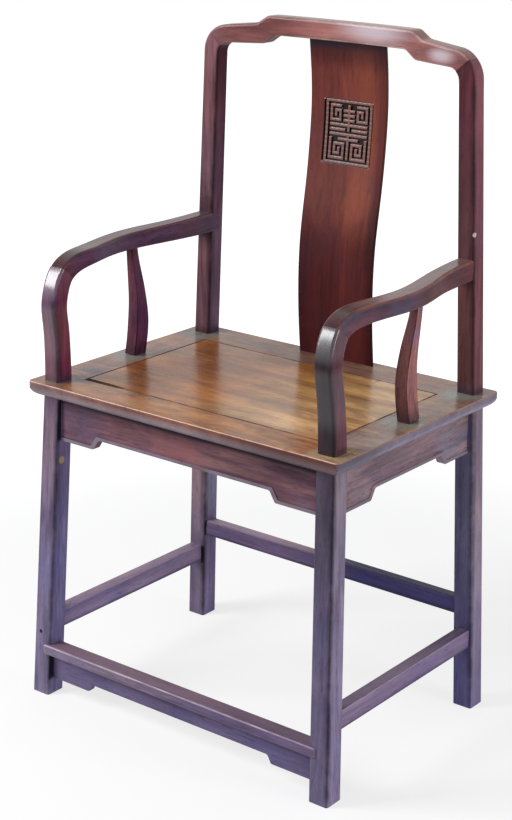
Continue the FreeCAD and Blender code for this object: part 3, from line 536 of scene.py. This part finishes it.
def frame_details(tree, body, position, normal, face, cloud):
    x, y, z = coordinates(tree, position)
    across, _, up = coordinates(tree, normal)
    near_front = spread(tree, y, *rubbed_front)
    near_side = spread(tree, x, *rubbed_side)
    flat = spread(tree, up, 0.7, 0.95)
    stains = noise(tree, position, 22.0, detail=6.0, roughness=0.7, distortion=0.6)
    near_edge = most(tree, near_front, near_side)
    patchiness = spread(tree, stains, 0.42, 0.62)
    body = paint(tree, body, "9c6236", near_edge, flat, patchiness, 0.8)
    dark_spots = spread(tree, stains, 0.38, 0.30)
    body = paint(tree, body, "4a3026", flat, dark_spots, 0.7)
    side_rails = spread(tree, absolute(tree, x), opening_side, opening_side + 0.004)
    body = paint(tree, body, "80706c", side_rails, flat, 0.55)
    drawn = stretched(tree, position, (0.35, 1.0, 1.0))
    blots = noise(tree, drawn, 50.0, detail=5.0, roughness=0.65, distortion=0.8)
    body = paint(tree, body, "b98a54", spread(tree, blots, 0.52, 0.38), flat, 0.55)
    body = paint(tree, body, "5a3436", spread(tree, blots, 0.54, 0.68), flat, 0.45)
    scratches = noise(tree, position, 190.0, detail=3.0, distortion=1.5)
    scratched = times(tree, spread(tree, scratches, 0.55, 0.62), between(tree, x, *scratched_span),
                      spread(tree, y, *scratched_depth), flat)
    body = paint(tree, body, "2e1c1c", scratched, 0.8)
    smear = distance_to(tree, position, smear_place)
    smeared = times(tree, spread(tree, smear, 0.050, 0.022), spread(tree, blots, 0.34, 0.50), flat)
    body = paint(tree, body, "4c4450", smeared, 0.75)
    front_rail = times(tree, spread(tree, y, *front_rail_part),
                       spread(tree, x, *front_rail_right), flat)
    body = tint(tree, body, "d1cbb3", front_rail)
    body = tint(tree, body, "b5adb6", spread(tree, x, *left_rail_part), side_rails, flat)
    body = paint(tree, body, "7c6460", spread(tree, y, *back_rail_part), flat, 0.45)
    corner = times(tree, spread(tree, x, *corner_side), spread(tree, y, *corner_front))
    body = paint(tree, body, "4c4844", corner, flat, spread(tree, stains, 0.44, 0.58), 0.35)
    near_corner = times(tree, spread(tree, x, *right_rail_part),
                        spread(tree, y, *right_rail_front), flat)
    body = tint(tree, body, "daeefc", near_corner)
    for foot in deposit_places:
        reach = distance_to(tree, position, foot)
        around = times(tree, spread(tree, reach, 0.042, 0.018), spread(tree, stains, 0.34, 0.52))
        body = paint(tree, body, "879089", around, flat, 0.75)
    # Moulded edge: brown above, a painted grey sheen low down, at the left and on the sides, and painted
    # shade on its right part
    below = spread(tree, z, *edge_part)
    to_side = spread(tree, across, 0.2, 0.6)
    shaded_right = spread(tree, x, *edge_shaded_right)
    streak = spread(tree, stains, 0.30, 0.70)
    brown = blend(tree, streak, shade("6c3c34"), shade("96604e"))
    brown = paint(tree, brown, "5a2c26", shaded_right, 0.8)
    grey = blend(tree, streak, shade("85727c"), shade("a29098"))
    side_grey = blend(tree, streak, shade("857f98"), shade("aea6c0"))
    side_grey = paint(tree, side_grey, "6c6c80", spread(tree, y, *edge_front_end), 0.8)
    grey = blend(tree, to_side, blend(tree, times(tree, shaded_right, 0.8), grey, shade("685054")), side_grey)
    drop = spread(tree, plus(tree, z, times(tree, stains, 0.004)), seat_top - 0.001, rail_foot + 0.010)
    to_left = spread(tree, x, *edge_left, 0.0, 0.4)
    drop = most(tree, drop, to_left, times(tree, to_side, 0.6))
    body = blend(tree, below, body, blend(tree, drop, brown, grey))
    # A painted highlight along the rounded upper arris, broken up and fainter on the sides
    arris = times(tree, between(tree, z, *arris_band), spread(tree, stains, 0.36, 0.50, 0.35, 1.0))
    arris = times(tree, arris, minus(tree, 1.0, times(tree, to_side, 0.7)))
    return paint(tree, body, "e6c2ac", arris, 0.85)


# The bead along the aprons' lower edges stands out of their faces, and is paler. Under the seat
# frame the aprons get a painted shadow, darkest in a band just under it. The last argument sets
# how strongly that painted shadow and the apron's tints are laid on.
bead_rise = 0.0009
bead_full = 0.0004
apron_middle = (0.19, 0.04)
apron_left = (-0.08, -0.20)
apron_bright = (0.03, 0.13, 0.04)
apron_shadow = (rail_foot - 0.034, rail_foot - 0.004)
apron_seat_shadow = (rail_foot - 0.0115, rail_foot - 0.0040)
apron_seat_shadow_right = (-0.26, -0.10)


def apron_details(axis, surface, shadow_weight):
    def details(tree, body, position, normal, face, cloud):
        place = coordinates(tree, position)
        x, height = place[0], place[2]
        outward = absolute(tree, place[axis])
        proud = spread(tree, outward, surface - bead_rise, surface - bead_full)
        bare = minus(tree, 1.0, proud)
        middle = spread(tree, absolute(tree, x), *apron_middle)
        body = paint(tree, body, "98584f", middle, bare, cloud, shadow_weight, 0.7)
        body = tint(tree, body, "a2a2af", spread(tree, x, *apron_left), shadow_weight, 0.7)
        body = tint(tree, body, "c7cbc2", between(tree, x, *apron_bright), shadow_weight)
        patchiness = noise(tree, position, 30.0, detail=4.0)
        body = paint(tree, body, "8d8190", proud, spread(tree, patchiness, 0.30, 0.62, 0.35, 0.85))
        # Painted shadow under the seat frame, darkest in a band just under it
        body = paint(tree, body, "2c1820", spread(tree, height, *apron_shadow), shadow_weight, 0.45)
        under_seat = times(tree, spread(tree, height, *apron_seat_shadow),
                           spread(tree, x, *apron_seat_shadow_right, 0.6, 0.95))
        return paint(tree, body, "120c1e", under_seat, shadow_weight)
    return details


# Painted shade at both ends of a member that runs along X or Y between the legs, where it meets
# them, and along its lower edge
end_shade_reach = 0.012
end_shade_full = 0.002
shade_reach = 0.008
shade_full = 0.001
bar_dusk = (-0.12, -0.22)
back_bar_pale = (0.02, -0.06)
back_bar_dark = (-0.02, 0.08)
back_bar_end = (0.04, 0.12)
side_bar_front = (-0.05, -0.13)


def joint_details(axis, first, last, foot):
    def details(tree, body, position, normal, face, cloud):
        along = coordinates(tree, position)[axis]
        top = face["Top"]
        near_first = spread(tree, along, first + end_shade_reach, first + end_shade_full)
        near_last = spread(tree, along, last - end_shade_reach, last - end_shade_full)
        if axis == 0:
            darker = spread(tree, along, *back_bar_dark)
            body = tint(tree, body, "e7f6f0", top, spread(tree, along, *back_bar_pale))
            body = tint(tree, body, "766a91", top, darker)
            body = tint(tree, body, "897ea8", top, spread(tree, along, *back_bar_end), 0.9)
            body = tint(tree, body, "7a88a8", darker)
        else:
            right_top = times(tree, top, spread(tree, coordinates(tree, position)[0], *to_right))
            front_end = times(tree, right_top, spread(tree, along, *side_bar_front))
            body = tint(tree, body, "a8a8ac", front_end)
            body = tint(tree, body, "95969c", right_top)
        near_first = most(tree, near_first, spread(tree, along, *bar_dusk, 0.0, 0.2))
        end_shade = most(tree, near_first, near_last)
        # Painted shade along the lower edge and at the ends
        low_edge = spread(tree, coordinates(tree, position)[2], foot + shade_reach, foot + shade_full)
        body = paint(tree, body, "241c40", low_edge, 0.55)
        return paint(tree, body, "1a1422", end_shade, 0.75)
    return details


# The footrest's upper front arris is pale: worn by feet, with a painted highlight. Its front is
# lighter towards the left, painted light.
footrest_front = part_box("footrest")[0].y
footrest_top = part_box("footrest")[1].z
footrest_arris_top = (footrest_top - 0.0030, footrest_top - 0.0012)
footrest_arris_front = (footrest_front + 0.0022, footrest_front + 0.0008)
footrest_lit_left = (0.16, -0.12)
footrest_trodden = (0.0, 0.20)


def footrest_details(tree, body, position, normal, face, cloud):
    x, y, z = coordinates(tree, position)
    at_arris = times(tree, spread(tree, z, *footrest_arris_top), spread(tree, y, *footrest_arris_front))
    broken = noise(tree, position, 34.0, detail=4.0)
    # Painted light: the front lighter towards the left
    body = tint(tree, body, "dbe2ca", face["Front"], spread(tree, x, *footrest_lit_left, 0.1, 1.0))
    body = tint(tree, body, "a0a0a8", face["Top"], spread(tree, x, *footrest_trodden))
    # The pale arris: wear, with a painted highlight
    return paint(tree, body, "d8c0cc", at_arris, spread(tree, broken, 0.40, 0.62, 0.3, 0.9))


# Painted highlights in soft patches along the crest's front, and redder wood between them
# each patch: across, height, half length, half height
crest_highlight_patches = ((0.062, 1.029, 0.086, 0.026), (0.186, 1.006, 0.034, 0.015))
crest_left = (-0.01, -0.11)
crest_pale = (0.02, 0.12, 0.03)
crest_right = (0.13, 0.17)
crest_left_end = (-0.205, -0.240)
crest_right_end = (0.190, 0.240)
crest_upper = (0.99, 1.00)
crest_lower = (1.03, 0.99)


def crest_details(tree, body, position, normal, face, cloud):
    x, _, z = coordinates(tree, position)
    body = tint(tree, body, "97898e", spread(tree, x, *crest_left))
    body = tint(tree, body, "c4d0d0", between(tree, x, *crest_pale))
    redder = times(tree, spread(tree, x, *crest_right), spread(tree, z, *crest_upper, 1.0, 0.8))
    body = tint(tree, body, "bcafaf", redder)
    body = paint(tree, body, "7c4f5c", spread(tree, x, *crest_left_end), 0.45)
    right_end = times(tree, spread(tree, x, *crest_right_end), spread(tree, z, *crest_lower), 0.75)
    body = paint(tree, body, "643e48", right_end)
    # Painted highlights on the crest's front
    painted_highlight = 0.0
    for across, height, half_length, half_height in crest_highlight_patches:
        along = calc(tree, "DIVIDE", minus(tree, x, across), half_length)
        rise = calc(tree, "DIVIDE", minus(tree, z, height), half_height)
        flat_place = add(tree, "CombineXYZ", {"X": along, "Y": rise}).outputs[0]
        reach = add(tree, "VectorMath", {0: flat_place}, operation="LENGTH").outputs["Value"]
        painted_highlight = most(tree, painted_highlight, spread(tree, reach, 1.0, 0.1))
    return paint(tree, body, "d8c6d0", painted_highlight, face["Front"], 0.85)


# The arms have painted shade at the bend, are rubbed to bare red wood along their outer upper
# edge, and are bluish in patches on their outer side
arm_bend = (-0.105, -0.150)
arm_near_bend = (-0.08, -0.13)
arm_left_top = (-0.12, -0.05)
arm_rubbed_top = (-0.10, -0.03, 0.03)
arm_blue = (0.03, -0.04)
arm_brown = (-0.04, 0.02)
arm_inside = (-0.095, 0.075, 0.03)


def arm_details(tree, body, position, normal, face, cloud):
    x, y = coordinates(tree, position)[:2]
    across, _, up = coordinates(tree, normal)
    outward = times(tree, across, calc(tree, "SIGN", x))
    # Painted shade on the bend
    body = tint(tree, body, "706c70", spread(tree, y, *arm_bend), spread(tree, up, 0.1, 0.4), 0.75)
    on_top = spread(tree, up, 0.5, 0.8)
    outer_side = spread(tree, outward, 0.6, 0.9)
    inner_side = spread(tree, outward, -0.6, -0.9)
    body = tint(tree, body, "a4979e", spread(tree, x, *to_left), spread(tree, y, *arm_left_top), on_top)
    right_top = times(tree, spread(tree, x, *to_right), on_top)
    body = tint(tree, body, "dbd7ca", right_top)
    body = tint(tree, body, "cfd1ce", right_top, between(tree, y, *arm_rubbed_top))
    hollows = noise(tree, position, 24.0, detail=4.0, roughness=0.6)
    blue = times(tree, outer_side, spread(tree, hollows, 0.44, 0.62, 0.35, 1.0),
                 spread(tree, y, *arm_blue, 0.1, 0.75))
    body = paint(tree, body, "555a72", blue)
    body = tint(tree, body, "ad8684", outer_side, spread(tree, y, *arm_brown))
    body = tint(tree, body, "b6cad5", inner_side, between(tree, y, *arm_inside))
    body = tint(tree, body, "d3bab8", inner_side, spread(tree, y, *arm_near_bend))
    turned = times(tree, spread(tree, outward, 0.10, 0.45), spread(tree, up, 0.25, 0.6))
    bare_wood = spread(tree, hollows, 0.56, 0.40, 0.25, 1.0)
    return paint(tree, body, "9c5636", turned, bare_wood, 0.8)


knot_place = on_face("left_front_post", (0.0, -0.1828, 0.391), (-1.0, 0.0, 0.0))
dent_place = on_face("left_front_post", (-0.2709, -1.0, 0.105), across_y)
chip_place = on_face("right_rear_post", (1.0, 0.1637, 0.7565), (-1.0, 0.0, 0.0))
knot_size = 0.0068
dent_size = 0.0035
chip_size = 0.004


# A post's faces run straight: where one lies at height zero, and how far it moves with the height
def face_run(name, start, way, axis, low, high):
    first = on_face(name, (*start, low), way)[axis]
    last = on_face(name, (*start, high), way)[axis]
    slope = (last - first) / (high - low)
    return first - slope * low, slope


# Painted shade along the front right corner of a post, on the front and on the side
corner_shadow_on_front = (0.010, 0.001)
corner_shadow_on_side = (0.009, 0.001)
corner_shadow_below = 0.05
corner_shadow_above = 0.02
corner_shadow_soft = 0.01


def corner_shadow(tree, name, middle, low, high, position, normal, face):
    x, y, z = coordinates(tree, position)
    runs = [face_run(name, (1.0, middle[1]), (-1.0, 0.0, 0.0), 0, low, high),
            face_run(name, (0.0, middle[1]), across_x, 0, low, high),
            face_run(name, (middle[0], middle[1] - 0.1), across_y, 1, low, high)]
    outer, inner, front = [plus(tree, start, times(tree, z, slope)) for start, slope in runs]
    on_right = calc(tree, "GREATER_THAN", x, 0.0)
    corner = minus(tree, times(tree, on_right, plus(tree, outer, inner)), inner)
    short = minus(tree, corner, x)
    behind = minus(tree, y, front)
    across = coordinates(tree, normal)[0]
    on_front = times(tree, face["Front"], spread(tree, short, *corner_shadow_on_front))
    on_side = times(tree, spread(tree, across, *looks_along), spread(tree, behind, *corner_shadow_on_side))
    broken = noise(tree, position, 18.0, detail=4.0, roughness=0.65)
    share = times(tree, most(tree, on_front, on_side), spread(tree, broken, 0.36, 0.56, 0.45, 1.0))
    return times(tree, share, between(tree, z, low - corner_shadow_below, high + corner_shadow_above, corner_shadow_soft))


# Dark grime where the posts stand in the seat, painted light on the rear posts' inner faces,
# painted shadow beside the aprons and round the stretchers' ends, a knot, a dent and a chip
arm_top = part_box("left_arm")[1].z
post_grime = (seat_top + 0.016, seat_top + 0.002)
over_seat = (seat_top - 0.002, seat_top)
arm_height_band = (arm_top - 0.05, arm_top + 0.035, 0.022)
under_arm = (seat_top, 0.70, 0.02)


def post_details(corners):
    def details(tree, body, position, normal, face, cloud):
        body = post_grime_and_painted_light(tree, body, position, face)
        for name, middle, low, high in corners:
            # A painted shadow along each listed corner
            corner_shadow_mask = corner_shadow(tree, name, middle, low, high, position, normal, face)
            body = paint(tree, body, "1a1018", corner_shadow_mask, 0.6)
        return body
    return details


# Painted shadow in the gap between a post and an apron, behind the apron's face
slot_soft = 0.001
slot_run = 0.004

# Painted shadow on a post round the end of a stretcher
side_gap = 0.009
side_gap_drop = 0.034
back_gap = 0.008
gap_lap = 0.002


def dark_slot(tree, y, z, low, top):
    return times(tree, spread(tree, y, low.y + slot_soft, low.y - slot_soft),
                 spread(tree, z, low.z - slot_run, low.z + slot_run),
                 spread(tree, z, top + slot_run, top - slot_soft))


def post_grime_and_painted_light(tree, body, position, face):
    x, y, z = coordinates(tree, position)
    body = paint(tree, body, "241619", spread(tree, z, *post_grime), spread(tree, z, *over_seat), 0.6)
    hollows = noise(tree, position, 22.0, detail=4.0)
    # A darker band on the left stile's front round the arm's height
    over_arm = times(tree, between(tree, z, *arm_height_band), spread(tree, y, *to_back),
                     spread(tree, x, *to_left), face["Front"],
                     spread(tree, hollows, 0.36, 0.56, 0.3, 0.85))
    body = paint(tree, body, "2c1c26", over_arm)
    inner = face["Inner"]
    # Painted light: the rear posts' inner faces lighter between the seat and the arms
    body = tint(tree, body, "c8dedf", inner, spread(tree, y, *to_back), between(tree, z, *under_arm))
    # Painted shadow beside the aprons, the footrest's apron and the stretchers' ends
    beside_apron = dark_slot(tree, y, z, apron_low, rail_foot)
    beside_foot = dark_slot(tree, y, z, foot_apron_low, foot_apron_high.z)
    beside = times(tree, inner, most(tree, beside_apron, beside_foot))
    outward = absolute(tree, x)
    beside_side = times(tree, face["Front"], spread(tree, y, *to_back),
                        between(tree, outward, side_low.x - side_gap, side_low.x + gap_lap, slot_soft),
                        between(tree, z, side_high.z - side_gap_drop, side_high.z - gap_lap, gap_lap))
    beside_back = times(tree, inner,
                        between(tree, y, back_low.y - back_gap, back_low.y + gap_lap, slot_soft),
                        between(tree, z, back_low.z, back_high.z, gap_lap))
    beside = most(tree, beside, beside_side, beside_back)
    body = paint(tree, body, "0c0a1c", beside, 0.92)
    knot = use(tree, mark, Position=position, Place=knot_place, Size=knot_size)["Mask"]
    body = paint(tree, body, "c8b87c", knot, 0.9)
    dent = use(tree, mark, Position=position, Place=dent_place, Size=dent_size)["Mask"]
    body = paint(tree, body, "2a2330", dent)
    chip = use(tree, mark, Position=position, Place=chip_place, Size=chip_size)["Mask"]
    return paint(tree, body, "f2e6ea", chip)


# Struts are dark at the foot
strut_grime = (seat_top + 0.030, seat_top + 0.002)


def strut_details(tree, body, position, normal, face, cloud):
    height = coordinates(tree, position)[2]
    return paint(tree, body, "1c0e14", spread(tree, height, *strut_grime), 0.5)


side_low, side_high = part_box("right_side_stretcher")
back_low, back_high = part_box("back_stretcher")
side_middle = (side_low + side_high) / 2
back_middle = (back_low + back_high) / 2
side_first = on_face("right_front_post", side_middle, (0.0, -1.0, 0.0)).y
side_last = on_face("right_rear_post", side_middle, across_y).y
back_last = on_face("right_rear_post", back_middle, across_x).x
apron_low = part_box("front_apron")[0]
foot_apron_low, foot_apron_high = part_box("footrest_apron")

# Post zones. The tones are painted light and shade for the faces that look each way, darker on the front
# faces at the right. The legs' purple-grey colours, bluest at the feet, are partly a painted cool
# reflection, and the stiles' crowns are lighter, a painted sheen toned down on the right fronts.
leg_change = (0.22, 0.46)
back_leg_change = (0.10, 0.42)
crown_change = (seat_top + 0.22, crest_top - 0.04)
foot_tones = {"Inner": "cfd7e2", "Front": "c4c6c2", "Right Front": "a0a0a3", "Outer": "e5e6df"}
leg_tones = {"Inner": "c0cefc", "Right Front": "778089", "Outer": "e0f0ed"}
back_foot_tones = {"Inner": "b9b6c2", "Front": "a9a6a3", "Right Front": "9299b8", "Outer": "d7d7d4"}
back_leg_tones = {"Inner": "ccf9ff", "Front": "e0d1ba", "Right Front": "86a6d4", "Outer": "e1e7e9"}
foot_colours = "645776 827698 9084a0 766f9b"
leg_colours = "665162 846f7f 937c85 786881"
foot_zone = (0.0, 0.0, foot_colours, foot_tones)
leg_zone = (*leg_change, leg_colours, leg_tones)
back_foot_zone = (0.0, 0.0, foot_colours, back_foot_tones)
back_leg_zone = (*back_leg_change, leg_colours, back_leg_tones)
stile_zone = (*seat_change, "482630 67424c 7a5357 573c4c",
              {"Inner": "e2e8fd", "Front": "d1dbd3", "Right Front": "9a8b86", "Outer": "f1dedd"})
crown_zone = (*crown_change, "6c444b 8f5d66 9d7076 896676",
              {"Inner": "6c2253", "Right Front": "785664", "Outer": "bc9aa2"})
arm_colours = "401c28 683545 81444a 563b51"
arm_post_zone = (*seat_change, arm_colours,
                 {"Inner": "deb8ed", "Front": "c5f1fe", "Right Front": "535251", "Outer": "ccbcc4"})

rear_post_look = {
    "zones": (back_foot_zone, back_leg_zone, stile_zone, crown_zone), "pore": "241015", "pores": 0.35,
    "top": "8a7d7c", "edge": "2c1c24", "across": across_x, "edge_wear_and_light_share": 0.55, "low_edge_wear_and_light": 0.6,
    "rough": (0.28, 0.40), "mottle": 0.4}
front_post_look = {
    **rear_post_look, "zones": (foot_zone, leg_zone, arm_post_zone),
    "dull_bands": ((0.634, 0.648, 0.010, 0.75), (seat_top, 0.555, 0.015, 0.7)),
    "gloss": 0.1, "rough": (0.20, 0.28), "dull": 0.03, "relief": 0.04}
crest_look = {
    "zones": ((0.0, 0.0, "794746 9f635c ac6c66 a6817e", {"Outer": "d0c0c0"}),), "pore": "3c1a1c",
    "top": "8a7468", "edge": "e0ccc8", "across": across_y, "edge_wear_and_light_share": 0.6, "rough": (0.24, 0.34),
    "gloss": 0.3, "patch_size": 6.0, "patch": 0.35, "dust_and_sheen": 0.8, "pores": 0.3, "relief": 0.1,
    "mottle": 0.6, "mottle_size": 16.0}
splat_look = {
    "zones": ((0.0, 0.0, "65332e 813f38 934d3c 683f48", {}),), "pore": "2c1010",
    "top": "8a7d7c", "edge": "5c4a50", "across": across_x, "edge_wear_and_light_share": 0.4, "rough": (0.30, 0.42),
    "gloss": 0.12, "pores": 0.3, "relief": 0.1, "mottle": 0.45, "mottle_size": 17.0}
arm_look = {
    "zones": ((0.0, 0.0, arm_colours, {"Inner": "afd9f6", "Outer": "ccd6d7"}),), "pore": "1e0d10",
    "top": "685c5e", "edge": "8a5040", "across": across_x, "edge_wear_and_light_share": 0.5, "rough": (0.20, 0.28),
    "dull": 0.03, "gloss": 0.25, "dust_and_sheen": 0.85, "least_dust_and_sheen": 0.6, "relief": 0.1, "mottle": 0.7}
strut_look = {
    "zones": ((0.0, 0.0, "55353d 885753 a7716a 715577",
               {"Front": "876e85", "Right Front": "c8eabf", "Outer": "f8f7f3", "Inner": "9b84c1"}),),
    "pore": "1e0d10", "top": "685c5e", "edge": "1c0c12", "across": across_x, "edge_wear_and_light_share": 0.7,
    "rough": (0.24, 0.32), "relief": 0.1, "mottle": 0.6}
frame_look = {
    "zones": ((0.0, 0.0, "7e4c30 9f6846 b17751 8a5c46", {}),), "pore": "452a1e",
    "top": "8a6c5c", "edge": "a58468", "across": across_z, "edge_wear_and_light_share": 0.0, "rough": (0.22, 0.34),
    "gloss": 0.35, "dust_and_sheen": 0.3, "relief": 0.1, "mottle": 0.8, "seam": 0.0018}
panel_look = {
    "zones": ((0.0, 0.0, "8a5c2f a87844 c49255 98714a", {}),), "pore": "4a2e1c",
    "top": "96704a", "edge": "c9a988", "across": across_z, "edge_wear_and_light_share": 0.0, "rough": (0.16, 0.26),
    "gloss": 0.35, "dust_and_sheen": 0.2, "relief": 0.1, "mottle": 0.8, "seam": 0.0022}
apron_look = {
    "zones": ((0.0, 0.0, "5a3c49 855b69 956a6b 7c6f88", {"Right Front": "a8acae"}),), "pore": "2a161c",
    "top": "8a7d7c", "edge": "a08a8c", "across": across_y, "edge_wear_and_light_share": 0.3, "rough": (0.28, 0.40),
    "mottle": 0.6}
side_apron_look = {
    **apron_look, "zones": ((0.0, 0.0, "6e5d68 a3828f b39392 9796ad", {}),), "across": across_x}
stretcher_look = {
    "zones": ((0.0, 0.0, "594968 76658d 856f8d 685c88", {"Top": "cabfaf"}),), "pore": "2c2230",
    "top": "9a8080", "edge": "b0a0a8", "across": across_y, "edge_wear_and_light_share": 0.4, "rough": (0.28, 0.40),
    "dust_and_sheen": 0.35}
foot_apron_look = {**stretcher_look, "zones": ((0.0, 0.0, "514862 6e6489 7c6e93 625c8d", {}),)}
side_stretcher_look = {
    **stretcher_look, "zones": ((0.0, 0.0, "65557c 8575a7 9780a7 766aa2",
                                 {"Inner": "d5d9cd", "Outer": "dadac9", "Top": "d5d0b9"}),),
    "across": across_x, "edge": "c8b8cc", "edge_wear_and_light_share": 0.7}

apron_front = -apron_low.y
apron_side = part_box("right_side_apron")[1].x
front_corners = (("right_front_post", (0.262, -0.185), 0.06, 0.47),
                 ("right_front_post", (0.253, -0.182), 0.57, 0.62))
rear_corners = (("right_rear_post", (0.262, 0.185), 0.06, 0.47),
                ("right_rear_post", (0.243, 0.176), 0.56, 0.95))
panel_names = ("seat_panel", "left_seat_batten", "right_seat_batten")
finishes = (
    (wood("front_post", "upright", front_post_look, post_details(front_corners)),
     ("left_front_post", "right_front_post")),
    (wood("rear_post", "upright", rear_post_look, post_details(rear_corners)),
     ("left_rear_post", "right_rear_post")),
    (wood("crest", "sideways", crest_look, crest_details), ("crest_rail",)),
    (wood("splat", "upright", splat_look, splat_details), ("back_splat",)),
    (wood("arm", "lengthways", arm_look, arm_details), ("left_arm", "right_arm")),
    (wood("strut", "upright", strut_look, strut_details), ("left_arm_strut", "right_arm_strut")),
    (wood("long_rail", "sideways", frame_look, frame_details), ("seat_front_rail", "seat_back_rail")),
    (wood("side_rail", "lengthways", frame_look, frame_details), ("left_seat_rail", "right_seat_rail")),
    (wood("panel", "sideways", panel_look, panel_details), panel_names),
    (wood("front_apron", "sideways", apron_look, apron_details(1, apron_front, 1.0)),
     ("front_apron", "back_apron")),
    (wood("side_apron", "lengthways", side_apron_look, apron_details(0, apron_side, 0.2)),
     ("left_side_apron", "right_side_apron")),
    (wood("back_stretcher", "sideways", stretcher_look, joint_details(0, -back_last, back_last, back_low.z)),
     ("back_stretcher",)),
    (wood("footrest", "sideways", stretcher_look, footrest_details), ("footrest",)),
    (wood("foot_apron", "sideways", foot_apron_look), ("footrest_apron",)),
    (wood("side_stretcher", "lengthways", side_stretcher_look,
          joint_details(1, side_first, side_last, side_low.z)),
     ("left_side_stretcher", "right_side_stretcher")),
)
for finish, names in finishes:
    for name in names:
        nodes[name].material_slots[0].material = finish

# Floor: pale paper that glows, though it is no lamp: enough for the camera to see it white, more
# away from the chair, painted light against the lamps' falloff, and a little for the light it
# throws on the chair
floor_reach = 12.0
paper = 0.36
whiter_from = 0.7
whitest_from = 1.9
near_level = 0.70
far_level = 1.05
bounce_level = 0.30
floor_mesh = bpy.data.meshes.new("floor")
grid = bmesh.new()
bmesh.ops.create_grid(grid, x_segments=1, y_segments=1, size=floor_reach / 2)
grid.to_mesh(floor_mesh)
grid.free()
floor = bpy.data.objects.new("floor", floor_mesh)
bpy.context.scene.collection.objects.link(floor)
floor_material = bpy.data.materials.new("floor_paper")
floor_material.use_nodes = True
tree = floor_material.node_tree
shader = tree.nodes["Principled BSDF"]
for label, value in (("Base Color", (paper, paper, paper, 1.0)), ("Roughness", 0.9),
                     ("Specular IOR Level", 0.0), ("Emission Color", (1.0, 1.0, 1.0, 1.0))):
    shader.inputs[label].default_value = value
seen = add(tree, "LightPath").outputs["Is Camera Ray"]
position = add(tree, "TexCoord").outputs["Object"]
distance = add(tree, "VectorMath", {0: position}, operation="LENGTH").outputs["Value"]
white = spread(tree, distance, whiter_from, whitest_from, near_level, far_level)
strength = add(tree, "MapRange", {"Value": seen, "To Min": bounce_level, "To Max": white}).outputs["Result"]
tree.links.new(strength, shader.inputs["Emission Strength"])
floor_mesh.materials.append(floor_material)

# Surroundings: white where they are seen, and a plain level of light on the chair
sky_level = 0.35
world = bpy.data.worlds.new("studio")
world.use_nodes = True
bpy.context.scene.world = world
tree = world.node_tree
background = tree.nodes["Background"]
background.inputs["Color"].default_value = (1.0, 1.0, 1.0, 1.0)
rays = add(tree, "LightPath")
seen = most(tree, rays.outputs["Is Camera Ray"], rays.outputs["Is Glossy Ray"])
seen = most(tree, seen, rays.outputs["Is Transmission Ray"])
strength = add(tree, "MapRange", {"Value": seen, "To Min": sky_level, "To Max": 1.0}).outputs["Result"]
tree.links.new(strength, background.inputs["Strength"])


def softbox(name, place, aim, width, height, power, colour):
    light = bpy.data.lights.new(name, "AREA")
    light.shape = "RECTANGLE"
    light.size = width
    light.size_y = height
    light.energy = power
    light.color = colour
    lamp = bpy.data.objects.new(name, light)
    lamp.location = place
    lamp.rotation_mode = "QUATERNION"
    lamp.rotation_quaternion = (Vector(aim) - Vector(place)).to_track_quat("-Z", "Y")
    bpy.context.scene.collection.objects.link(lamp)


softbox("left_softbox", place=(-1.55, -1.68, 1.83), aim=(0.0, -0.1, 0.6),
        width=1.0, height=1.6, power=50.0, colour=(0.97, 0.98, 1.0))
softbox("right_softbox", place=(2.4, 0.2, 1.2), aim=(0.0, 0.0, 0.5),
        width=0.9, height=1.2, power=14.0, colour=(0.90, 0.93, 1.0))

# Camera, at the photograph's viewing angle
picture_height = 820
focal_pixels = 1814.0
camera_place = Vector((1.5688, -2.05945, 1.3369))
camera_target = Vector((0.0672, -0.10155, 0.517))
camera_roll = radians(0.93)
sensor = 36.0
camera_data = bpy.data.cameras.new("camera")
camera_data.sensor_fit = "VERTICAL"
camera_data.sensor_height = sensor
camera_data.lens = focal_pixels / picture_height * sensor
camera = bpy.data.objects.new("camera", camera_data)
camera.location = camera_place
camera.rotation_mode = "QUATERNION"
look_along = (camera_target - camera_place).to_track_quat("-Z", "Y")
camera.rotation_quaternion = look_along @ Quaternion((0.0, 0.0, 1.0), camera_roll)
bpy.context.scene.collection.objects.link(camera)
bpy.context.scene.camera = camera
bpy.context.scene.view_settings.view_transform = "Standard"
